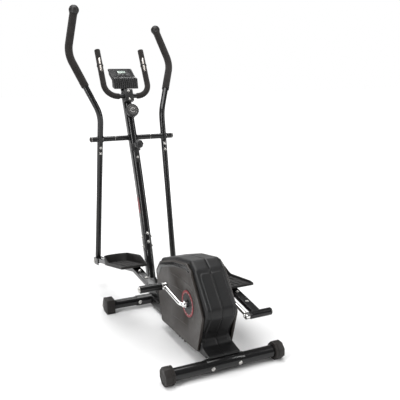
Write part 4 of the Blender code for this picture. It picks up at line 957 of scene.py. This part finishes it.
def tread_pads(place, half, nose):
    """Raised tiles between curved grooves, clipped to the tray's inner outline."""
    length = TRAY_FRONT + nose * 0.72
    pads = []
    for row in range(TILE_ROWS):
        low_y, high_y = (TILE_START + length * k / TILE_ROWS for k in (row, row + 1))
        for column in range(TILE_COLUMNS):
            low_x, high_x = ((2 * k / TILE_COLUMNS - 1) * half for k in (column, column + 1))
            corners = []
            for x, y in ((low_x, low_y), (high_x, low_y), (high_x, high_y), (low_x, high_y)):
                y = y + TILE_WAVE * math.sin(math.pi * x / half + row)
                room = half
                if y > TRAY_FRONT:
                    room = half * math.sqrt(max(0.0, 1 - ((y - TRAY_FRONT) / nose) ** 2))
                corners.append(Vector((max(-room, min(room, x)), min(y, TRAY_FRONT + nose - 0.004))))
            area = sum(a.x * b.y - b.x * a.y for a, b in zip(corners[-1:] + corners, corners)) / 2
            if area < TILE_LEAST:
                continue
            tile = fillet_flat([tuple(p) for p in offset(corners, TILE_GROOVE / 2)], TILE_CORNER, 3)
            pads.append(prism(tile, TRAY_FLOOR - 0.001, TRAY_FLOOR + TILE_HIGH, in_frame(place), 0.0009, 2))
    return pads


# ---- U handlebar
UBAR_R = 0.0125
UBAR_HALF = 0.131
UBAR_RISE = 0.292
UBAR_BEND_R = 0.075
UBAR_FOAM_R = 0.0165
UBAR_FOAM_X = 0.052
UBAR_LEAN = math.radians(28.0)
SENSOR_UP = (0.146, 0.238)
SENSOR_SPLIT = 0.0042           # half the gap between the two plates of a pair
SENSOR_SPREAD = math.radians(58)
SENSOR_LIFT = 0.0016
SENSOR_ROWS = 12
SENSOR_COLUMNS = 8


def handlebar_place():
    """The handlebar's frame: origin at the clamp, Z up its prongs."""
    return Matrix.Translation(joint_at("handlebar_tilt")) @ Matrix.Rotation(-UBAR_LEAN, 4, "X")


def handlebar():
    place = handlebar_place()
    flat = way(place, 0, 1, 0)
    line = ((-UBAR_HALF, 0, UBAR_RISE), (-UBAR_HALF, 0, 0), (UBAR_HALF, 0, 0), (UBAR_HALF, 0, UBAR_RISE))
    path = moved(place, fillet(line, UBAR_BEND_R, 16))
    piece("u_handlebar_tube", bar(path, UBAR_R, flat, 32), PAINT, "fixed_handlebar", ["handlebar"])
    for name, sign in SIDES:
        prong = sign * UBAR_HALF
        line = fillet(((sign * UBAR_FOAM_X, 0, 0), (prong, 0, 0), (prong, 0, UBAR_RISE)), UBAR_BEND_R, 16)
        foam = bar(moved(place, line), UBAR_FOAM_R, flat, 32, 0.0022)
        grip = piece(f"handlebar_grip_{name}", foam, FOAM, "fixed_handlebar", [f"handlebar_foam_{name}"])
        tip = place @ Vector((prong, 0, UBAR_RISE - 0.0005))
        plug = lathe(((0.012, 0), (0.012, 0.0006), (0.01, 0.0012), (0, 0.0012)),
                     frame_along(tip, tip + way(place, 0, 0, 1)), 32)
        piece(f"handlebar_plug_{name}", plug, RUBBER, "fixed_handlebar")
        sensors(name, sign, place)


def sensors(name, sign, place):
    """Two leaf-shaped metal plates, front and rear, split by a black band."""
    low, high = SENSOR_UP
    middle = (low + high) / 2
    half = (high - low) / 2
    plates = []
    for facing in (-1, 1):
        for part in (-1, 1):
            grid = []
            for k in range(SENSOR_ROWS + 1):
                t = k / SENSOR_ROWS
                up = middle + part * (SENSOR_SPLIT + (half - SENSOR_SPLIT) * t)
                wide = SENSOR_SPREAD * max(0.0, 1 - t ** 1.7) ** 0.75 + 0.02
                outer, inner = [], []
                for j in range(SENSOR_COLUMNS + 1):
                    side = 2 * j / SENSOR_COLUMNS - 1
                    lift = SENSOR_LIFT * (1 - abs(side) ** 3) * (1 - t ** 4)
                    for ring, radius in ((outer, UBAR_FOAM_R - 0.0003 + lift), (inner, UBAR_FOAM_R - 0.002)):
                        ring.append(place @ Vector((sign * UBAR_HALF + radius * math.sin(wide * side),
                                                    facing * radius * math.cos(wide * side), up)))
                grid.append(outer + inner[::-1])
            plates.append(loft(grid))
    piece(f"pulse_plates_{name}", plates, PLATE, "fixed_handlebar", [f"pulse_sensor_{name}"])
    start = place @ Vector((sign * UBAR_HALF, 0, middle - 0.004))
    end = place @ Vector((sign * UBAR_HALF, 0, middle + 0.004))
    band = spin(((0, 0.0168), (0.15, 0.0186), (0.85, 0.0186), (1, 0.0168)), start, end, 40)
    piece(f"pulse_band_{name}", band, PLASTIC, "fixed_handlebar")


# ---- console and clamp
PRESS = Vector(JOINTS["console_button_1_press"]["axis"])
LENS_UP = 0.052
LENS_SIZE = (0.046, 0.022)
CONSOLE_HALF = 0.07
FACE_TOP = 0.0861               # the bezel's upper edge, up the face from the chin
BUTTON_SEAT = 0.0026            # the button's foot below its node's middle
BUTTON_PROFILE = ((0.0048, 0), (0.005, 0.0004), (0.005, 0.0044), (0.0046, 0.0052), (0.0036, 0.0056),
                  (0.003, 0.0053), (0, 0.0052))
DIGIT_X = (-0.0145, -0.007, 0.005, 0.0125)
DIGIT_SIZE = (0.0052, 0.0095)
DIGIT_THICK = 0.0011
DIGIT_LEVELS = (0.0002, 0.00055)
NOUGHT = ((-0.5, -1, 0.5, -1), (-0.5, 1, 0.5, 1), (-0.5, -1, -0.5, 0), (-0.5, 0, -0.5, 1),
          (0.5, -1, 0.5, 0), (0.5, 0, 0.5, 1))      # strokes from (a, b) to (c, d), in shares of the size
RIB_COUNT = 11
RIB_MARGIN = 0.004


def face_frame():
    """A frame on the console's sloping face at the chin: Y runs up the face, Z out of it."""
    out = -PRESS.normalized()
    up = Vector((0, out.z, -out.y))
    centre = middle_of("console_lens") + out * 0.001
    chin = centre - up * LENS_UP
    rotation = Matrix((Vector((1, 0, 0)), up, out)).transposed().to_4x4()
    return Matrix.Translation(chin) @ rotation


def console():
    place = face_frame()
    dress("console_back", PLASTIC)
    dress("console_bracket", PAINT)
    piece("console_shell", refined("console_face", 0.003), PLASTIC, "frame", ["console_face"])
    frame_face = in_frame(place)
    bezel = fillet_flat(((-0.062, 0.012), (0.062, 0.012), (0.064, FACE_TOP), (-0.064, FACE_TOP)), 0.006, 5)
    window = fillet_flat(((-0.028, 0.0385), (0.028, 0.0385), (0.028, 0.066), (-0.028, 0.066)), 0.003, 4)
    rims = []
    for outline, wide, high in ((bezel, 0.0016, 0.0013), (window, 0.0022, 0.0017)):
        inner = offset(outline, wide)
        levels = ((outline, -0.0006), (outline, high * 0.7), (offset(outline, wide * 0.3), high),
                  (offset(outline, wide * 0.7), high), (inner, high * 0.7), (inner, -0.0006))
        rings = [[frame_face(p.x, p.y, z) for p in ring] for ring, z in levels]
        rims.append(loft(rings + [rings[0]], caps=False))
    piece("console_bezel", rims, PLASTIC, "frame")
    lens = prism(rounded(*LENS_SIZE, 0.002, 4), -0.0016, 0.0004,
                 in_frame(place @ Matrix.Translation((0, LENS_UP, 0))), 0.0005)
    piece("console_window", lens, LCD, "frame", ["console_lens"])
    digits(place)
    ribs(place)
    for k in (1, 2, 3):
        node = f"console_button_{k}"
        low = middle_of(node) + PRESS * BUTTON_SEAT
        button = lathe(BUTTON_PROFILE, frame_along(low, low - PRESS), 32)
        piece(f"button_cap_{k}", button, BUTTON, f"button_{k}", [node])


def digits(place):
    """Seven-segment noughts with a colon on the display, as on any timer at rest."""
    wide, tall = DIGIT_SIZE
    past = DIGIT_THICK / 2
    low, high = DIGIT_LEVELS
    bars = []
    for x in DIGIT_X:
        for a, b, c, d in NOUGHT:
            low_x, high_x = sorted((x + a * wide, x + c * wide))
            low_y, high_y = sorted((LENS_UP + b * tall / 2, LENS_UP + d * tall / 2))
            bars.append(block((low_x - past, low_y - past, low), (high_x + past, high_y + past, high), place,
                              0.0001))
    for y in (-0.002, 0.002):
        bars.append(block((-0.0017, LENS_UP + y - 0.0005, low), (-0.0007, LENS_UP + y + 0.0005, high), place,
                          0.0001))
    piece("display_digits", bars, INK, "frame")


def ribs(place):
    """The ribbed beard under the console's face."""
    low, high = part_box("console_face")
    chin = place.translation
    line = [(chin.y, chin.z - 0.001), (chin.y - 0.035, chin.z - 0.006), (chin.y - 0.047, low.z + 0.001)]
    path = fillet([(0, y, z) for y, z in line], 0.012, 6)
    pitch = 2 * (CONSOLE_HALF - RIB_MARGIN) / RIB_COUNT
    shapes = []
    for k in range(RIB_COUNT):
        x = -CONSOLE_HALF + RIB_MARGIN + pitch * (k + 0.5)
        shapes.append(sweep([p + Vector((x, 0, 0)) for p in path], circle(pitch * 0.4, 12, 0.85), (1, 0, 0)))
    piece("console_ribs", shapes, PLASTIC, "frame")


CLAMP_BOLT_UP = (-0.024, 0.024)
CLAMP_DEPTH = 0.0198


def clamp():
    piece("clamp_block", refined("clamp_cover", 0.0045), PLASTIC, "frame", ["clamp_cover"])
    centre = joint_at("handlebar_tilt")
    spot = Matrix.Translation(centre) @ post_frame(centre.z).to_3x3().to_4x4()
    heads = [bolt_shape(spot @ Vector((0, -CLAMP_DEPTH, z)), way(spot, 0, -1, 0), 0.0054)
             for z in CLAMP_BOLT_UP]
    piece("clamp_bolts", heads, ZINC, "frame")


# ---- knobs on the post
DIAL_R = 0.0375
DIAL_TEETH = 20
DIAL_LEVELS = ((0, 0.003, 0), (0.002, 0.0004, 1), (0.017, 0.0, 1), (0.0195, 0.0016, 0.6), (0.0215, 0.0045, 0),
               (0.022, 0.0075, 0), (0.0208, 0.0085, 0))
DIAL_FACE_UP = 0.0206
DIAL_MARKS = 8
DIAL_SWEEP = 300                # degrees over which the tick marks are spread
LOCK_R = 0.025
LOCK_TEETH = 7
LOCK_LEVELS = ((0, 0.004, 0), (0.003, 0.0005, 1), (0.017, 0.0, 1), (0.022, 0.002, 1), (0.0265, 0.007, 0.4),
               (0.0292, 0.0125, 0), (0.03, 0.018, 0))
LOCK_TAIL = 0.086               # the strap's screw below the lock knob


def knob_place(joint):
    """A frame at the knob's joint: Z out along its axis."""
    spot = joint_at(joint)
    return frame_along(spot, spot + Vector(JOINTS[joint]["axis"]))


def knurled(radius, levels, place, teeth, depth):
    """A knob whose side is scalloped between its rounded rims; levels are (height, inset, share of depth)."""
    rings = []
    sides = teeth * 6
    for height, inset_by, share in levels:
        ring = []
        for k in range(sides):
            turn = 2 * math.pi * k / sides
            r = radius - inset_by - depth * share * (0.5 - 0.5 * math.cos(teeth * turn))
            ring.append(place @ Vector((r * math.cos(turn), r * math.sin(turn), height)))
        rings.append(ring)
    return loft(rings)


def knobs():
    piece("tension_saddle", refined("tension_base", 0.002), PLASTIC, "frame", ["tension_base"])
    piece("lock_saddle", refined("lock_knob_base", 0.0018), PLASTIC, "frame", ["lock_knob_base"])
    dial = knob_place("tension_turn")
    rim = knurled(DIAL_R, DIAL_LEVELS, dial, DIAL_TEETH, 0.0018)
    piece("tension_dial", rim, KNOB, "tension_dial", ["tension_knob"])
    face = dial @ Matrix.Translation((0, 0, DIAL_FACE_UP))
    # the face's grey is painted light, the light the dial's face catches, on a knob otherwise as black as the
    # lock knob
    disc = lathe(((0.0285, 0), (0.0285, 0.0008), (0.015, 0.0012), (0, 0.0012)), face, 48)
    piece("tension_dial_face", disc, DISC, "tension_dial")
    # the pale ring is a painted highlight, the light caught by a groove round the dial's middle; the ticks
    # and pointer after it are print
    print_and_highlight = [ring_shape(0.0118, 0.014, 0.0011, 0.0016, face, 20, 320)]
    for k in range(DIAL_MARKS):
        turn = Matrix.Rotation(math.radians(225 - k * DIAL_SWEEP / DIAL_MARKS), 4, "Z")
        print_and_highlight.append(block((0.021, -0.0005, 0.0008), (0.0255, 0.0005, 0.0014), face @ turn, 0.0001))
    print_and_highlight.append(block((-0.001, 0.0, 0.0011), (0.001, 0.0085, 0.0016), face, 0.0002))
    piece("tension_dial_print_and_highlight", print_and_highlight, PALE, "tension_dial")
    grip = knurled(LOCK_R, LOCK_LEVELS, knob_place("lock_knob_turn"), LOCK_TEETH, 0.0026)
    piece("lock_knob_grip", grip, KNOB, "lock_screw", ["lock_knob"])
    spot = post_frame(joint_at("lock_knob_turn").z - LOCK_TAIL)
    head = bolt_shape(spot @ Vector((0, -POST_DEPTH / 2 - 0.0108, 0)), way(spot, 0, -1, 0), 0.005)
    piece("lock_saddle_screw", head, ZINC, "frame")


def ring_shape(inner, outer, low, high, place, start=0.0, end=360.0, steps=48):
    """A flat ring, or an arc of one, in a frame's X and Y."""
    rings = []
    for k in range(steps + 1):
        turn = math.radians(start + (end - start) * k / steps)
        across = Vector((math.cos(turn), math.sin(turn), 0))
        rings.append([place @ (across * r + Vector((0, 0, z)))
                      for r, z in ((inner, low), (outer, low), (outer, high), (inner, high))])
    return loft(rings, caps=end - start < 360)


# ---- housing
HOUSE_HALF = 0.075
HOUSE_EDGE = 0.016
HOUSE_WALL = 0.0025
PANEL_WALL = 0.0022
RAISED = 0.0036                 # how far the rear panel stands proud
RAISED_HALF = 0.056
FLOOR_Z = 0.0605
SEAT_Z = 0.0715                 # where the foot lies on the base frame
STEP_Y = 0.033
HOUSE_OUTLINE = ((0.556, FLOOR_Z), (0.592, 0.3), (0.532, 0.372), (0.35, 0.428), (0.188, 0.456),
                 (0.14, 0.425), (0.018, 0.28), (0.018, 0.245), (0.07, 0.158), (0.082, 0.12),
                 (0.06, 0.096), (0.024, 0.086), (-0.004, 0.082), (-0.008, SEAT_Z), (STEP_Y, SEAT_Z),
                 (STEP_Y, FLOOR_Z))
PANEL_OUTLINE = ((0.51, 0.05), (0.574, 0.3), (0.522, 0.36), (0.36, 0.411), (0.203, 0.44),
                 (0.155, 0.415), (0.056, 0.28), (0.036, 0.245), (0.092, 0.064))
BAND_OUTLINE = ((0.562, 0.29), (0.516, 0.353), (0.359, 0.404), (0.206, 0.433), (0.164, 0.418),
                (0.176, 0.404), (0.212, 0.412), (0.352, 0.384), (0.5, 0.334), (0.54, 0.276))
RAISED_FRONT = 0.2             # the raised panel lies behind this, between its foot and its top
RAISED_FOOT = 0.1
RAISED_TOP = 0.412
RAISED_CORNER = 0.016
RAISED_BORDER = 0.004
SEAM = 0.0003                   # half the gap between the shells
SEAM_DEPTH = 0.0016
SEAM_WIDTH = 0.0022
FLAT_X = (SEAM, 0.0012, 0.003, 0.01, 0.02, 0.03, 0.04, 0.043, 0.046, 0.049, 0.0505, 0.052, 0.053, 0.054,
          0.055, 0.056, 0.0575)
EDGE_STEPS = 8
SHELL_HOLE = 0.0145
PANEL_HOLE = 0.0215
HOLE_SIDES = 48
PANEL_LEVELS = ((0.0, 0.0), (0.0085, 0.0), (0.0105, 0.0006), (0.0117, 0.002), (0.012, 0.0038),
                (0.0112, 0.006), (0.0108, 0.0085))
HUB_PROFILE = ((PANEL_HOLE, -0.004), (0.0235, -0.001), (0.0235, 0.0012), (PANEL_HOLE, 0.0024),
               (0.017, 0.0026), (0.015, 0.0006), (0.0135, -0.004))
DASHES = 16
DASH_TURN = 7                   # degrees
LUGS = (4, 0.225, 0.03, 0.014)         # how many, the first one's place, their pitch and their length
CREASES = (((0.12, 0.352), (0.48, 0.332)), ((0.19, 0.3), (0.52, 0.262)),
           ((0.21, 0.205), (0.5, 0.19)), ((0.15, 0.15), (0.47, 0.118)))
CREASE_STEPS = 14
CREASE_BOW = 0.006


def raise_at(point, x):
    """Height of the raised rear panel at a point of the outline: 1 inside, 0 outside its rounded border."""
    if point.x > RAISED_FRONT or point.y < RAISED_FOOT:
        return 0.0
    top_gap = RAISED_TOP - point.y
    side_gap = RAISED_HALF - abs(x)
    a, b = RAISED_CORNER - top_gap, RAISED_CORNER - side_gap
    inside = min(top_gap, side_gap)
    if a > 0 and b > 0:
        inside = RAISED_CORNER - math.hypot(a, b)
    return smooth(inside / RAISED_BORDER) * smooth((point.y - RAISED_FOOT) / 0.03)


def housings():
    """Half shells with a seam groove, a raised panel behind and a round edge that fades out at the foot."""
    outline = resampled(fillet_flat(HOUSE_OUTLINE, 0.022, 8), 300)
    inward = normals(outline)

    def ring(x, depth_at):
        depths = [depth_at(p) for p in outline]
        return [side_on(p.x + REAR_Y + n.x * d, p.y + n.y * d, x) for p, n, d in zip(outline, inward, depths)]

    for name, sign in SIDES:
        rings = []
        for x in FLAT_X:
            groove = SEAM_DEPTH * (1 - smooth((x - SEAM) / SEAM_WIDTH))
            rings.append(ring(sign * x, lambda p: groove - RAISED * raise_at(p, x)))
        for k in range(EDGE_STEPS + 1):
            turn = k / EDGE_STEPS * math.pi / 2
            depth = HOUSE_EDGE * (1 - math.cos(turn))
            x = HOUSE_HALF - HOUSE_EDGE * (1 - math.sin(turn))
            rings.append(ring(sign * x, lambda p: depth * smooth((p.y - 0.086) / 0.05)))
        shape = loft(rings, caps=False)
        close_with_hole(shape, sign * HOUSE_HALF, SHELL_HOLE)
        shell = piece(f"housing_shell_{name}", shape, PLASTIC, "frame", [f"housing_{name}"], 30)
        walled(shell, HOUSE_WALL)


def close_with_hole(shape, x, radius):
    """Closes the open rim at X = x with a flat face that leaves a round hole at the crank."""
    rim = [e for e in shape.edges if len(e.link_faces) == 1 and all(abs(v.co.x - x) < 1e-5 for v in e.verts)]
    loop = [shape.verts.new((x, CRANK.y + a, CRANK.z + b)) for a, b in circle(radius, HOLE_SIDES)]
    ring = [shape.edges.new((loop[k - 1], loop[k])) for k in range(HOLE_SIDES)]
    bmesh.ops.triangle_fill(shape, use_beauty=True, edges=rim + ring)


def side_panels():
    outline = resampled(fillet_flat(PANEL_OUTLINE, 0.016, 6), 220)
    outline = [p + Vector((REAR_Y, 0)) for p in outline]
    for name, sign in SIDES:
        rings = [[side_on(p.x, p.y, sign * (HOUSE_HALF + SEAM + t)) for p in offset(outline, d)]
                 for t, d in PANEL_LEVELS]
        shape = loft(rings, caps=False)
        face_x = sign * (HOUSE_HALF + SEAM + PANEL_LEVELS[-1][0])
        close_with_hole(shape, face_x, PANEL_HOLE)
        panel = piece(f"side_panel_shell_{name}", shape, PANEL, "frame", [f"side_panel_{name}"], 30)
        walled(panel, PANEL_WALL)
        panel_details(name, sign, face_x)


def panel_details(name, sign, face_x):
    """The crank's trim and ring with dashes, a glossy band along the top, lugs below and creases."""
    turn = Matrix.Rotation(sign * math.pi / 2, 4, "Y")
    at_crank = Matrix.Translation((face_x, CRANK.y, CRANK.z)) @ turn
    piece(f"crank_hub_trim_{name}", lathe(HUB_PROFILE, at_crank, 48), PLASTIC, "frame")
    dark = ring_shape(0.024, 0.0645, -0.0004, 0.0007, at_crank)
    piece(f"crank_ring_base_{name}", dark, PLASTIC, "frame")
    red = [ring_shape(0.049, 0.0615, 0.0004, 0.0012, at_crank)]
    piece(f"crank_ring_{name}", red, RED, "frame")
    dashes = []
    for k in range(DASHES):
        start = k * 360 / DASHES
        dashes.append(ring_shape(0.05, 0.0525, 0.001, 0.0016, at_crank, start, start + DASH_TURN, 4))
    piece(f"crank_ring_dashes_{name}", dashes, PALE, "frame")

    def outward(a, b, level):
        return Vector((face_x + sign * level, REAR_Y + a, b))

    band = fillet_flat(BAND_OUTLINE, 0.008, 5)
    piece(f"panel_band_{name}", prism(band, -0.0008, 0.0009, outward, 0.0005), PAINT, "frame")
    lugs = []
    count, first, pitch, length = LUGS
    x0, x1 = sorted((face_x - sign * 0.01, face_x + sign * 0.0006))
    for k in range(count):
        y = first + pitch * k
        lugs.append(block((x0, REAR_Y + y, 0.0535), (x1, REAR_Y + y + length, 0.0615), edge=0.001))
    piece(f"panel_lugs_{name}", lugs, PLASTIC, "frame")
    creases = []
    steps = [k / CREASE_STEPS for k in range(CREASE_STEPS + 1)]
    for (ya, za), (yb, zb) in CREASES:
        path = [(face_x, REAR_Y + ya + (yb - ya) * t, za + (zb - za) * t + CREASE_BOW * math.sin(math.pi * t))
                for t in steps]
        scales = [max(0.05, math.sin(math.pi * t)) for t in steps]
        creases.append(sweep(path, circle(0.0017, 10, 0.5), (0, 0, 1), scales))
    piece(f"panel_creases_{name}", creases, PANEL, "frame")


# ---- stage, lights and camera
FLOOR_SIZE = 30.0
GLOW = (1.2, 3.2)       # metres from the middle where the floor starts to glow, and glows fully
LOOK_AT = (0, 0, 0.7)
SENSOR_WIDTH = 36.0


def floor():
    """A pale floor that brightens into the white surround far from the machine."""
    shape = bmesh.new()
    bmesh.ops.create_grid(shape, x_segments=1, y_segments=1, size=FLOOR_SIZE)
    mesh = bpy.data.meshes.new("studio_floor")
    shape.to_mesh(mesh)
    shape.free()
    white = bpy.data.materials.new("studio_white")
    white.use_nodes = True
    tree = white.node_tree
    shader = tree.nodes["Principled BSDF"]
    socket(shader, "Roughness", 0.9)
    socket(shader, "Specular IOR Level", 0.1)
    socket(shader, "Emission Color", (1.0, 1.0, 1.0, 1.0))
    tree.links.new(drift_colour(tree, (0.88, 0.88, 0.88), 0.01, 0.5, 0.0), shader.inputs["Base Color"])
    place = tree.nodes.new("ShaderNodeTexCoord")
    reach = tree.nodes.new("ShaderNodeVectorMath")
    reach.operation = "LENGTH"
    tree.links.new(place.outputs["Object"], reach.inputs[0])
    glow = spread(tree, reach.outputs["Value"], 0.0, 1.0, *GLOW)
    tree.links.new(glow, shader.inputs["Emission Strength"])
    mesh.materials.append(white)
    item = placed("studio_floor", mesh)
    item.location = (0, 0, -0.0004)


def area_light(name, spot, aim, size, power):
    data = bpy.data.lights.new(name, "AREA")
    data.shape = "RECTANGLE"
    data.size, data.size_y = size
    data.energy = power
    item = placed(name, data)
    item.location = spot
    item.rotation_euler = (Vector(aim) - Vector(spot)).to_track_quat("-Z", "Y").to_euler()


SURROUND_SEEN = 1.0
SURROUND_LIGHT = 0.2       # what the surround gives to everything but the picture's background


def lights():
    world = bpy.data.worlds.new("studio")
    bpy.context.scene.world = world
    world.use_nodes = True
    tree = world.node_tree
    background = tree.nodes["Background"]
    socket(background, "Color", (1.0, 1.0, 1.0, 1.0))
    ray = tree.nodes.new("ShaderNodeLightPath")
    level = spread(tree, ray.outputs["Is Camera Ray"], SURROUND_LIGHT, SURROUND_SEEN, 0.0, 1.0)
    tree.links.new(level, background.inputs["Strength"])
    area_light("key", (-2.8, -1.6, 2.3), LOOK_AT, (0.7, 3.0), 85)
    area_light("fill", (2.6, -2.0, 1.9), LOOK_AT, (0.5, 2.6), 40)
    area_light("back", (0.6, 3.0, 2.6), LOOK_AT, (2.6, 0.8), 45)
    area_light("top", (-0.2, 0.2, 3.6), (0, 0, 0), (2.6, 2.6), 115)


# camera: low behind the machine's left, as in a catalogue picture
CAMERA_SPOT = (-1.0896, -2.7671, 1.2699)
CAMERA_YAW = 0.4463
CAMERA_PITCH = 0.2198
CAMERA_ROLL = -0.0075
CAMERA_LENS = 52.4
CAMERA_SHIFT = (-0.0016, 0.0064)


def camera():
    data = bpy.data.cameras.new("camera")
    data.lens = CAMERA_LENS
    data.sensor_width = SENSOR_WIDTH
    data.shift_x, data.shift_y = CAMERA_SHIFT
    item = placed("camera", data)
    turn = Matrix.Rotation(-CAMERA_YAW, 4, "Z") @ Matrix.Rotation(math.pi / 2 - CAMERA_PITCH, 4, "X")
    item.matrix_world = Matrix.Translation(CAMERA_SPOT) @ turn @ Matrix.Rotation(CAMERA_ROLL, 4, "Z")
    bpy.context.scene.camera = item


# ---- the scene
camera()
floor()
lights()
bpy.context.scene.view_settings.view_transform = "Standard"
for build in (stabilisers, rear_caps, front_caps, base_frame, post, levers, axle, cranks, pedals, handlebar,
              console, clamp, knobs, housings, side_panels):
    build()
bpy.context.view_layer.update()
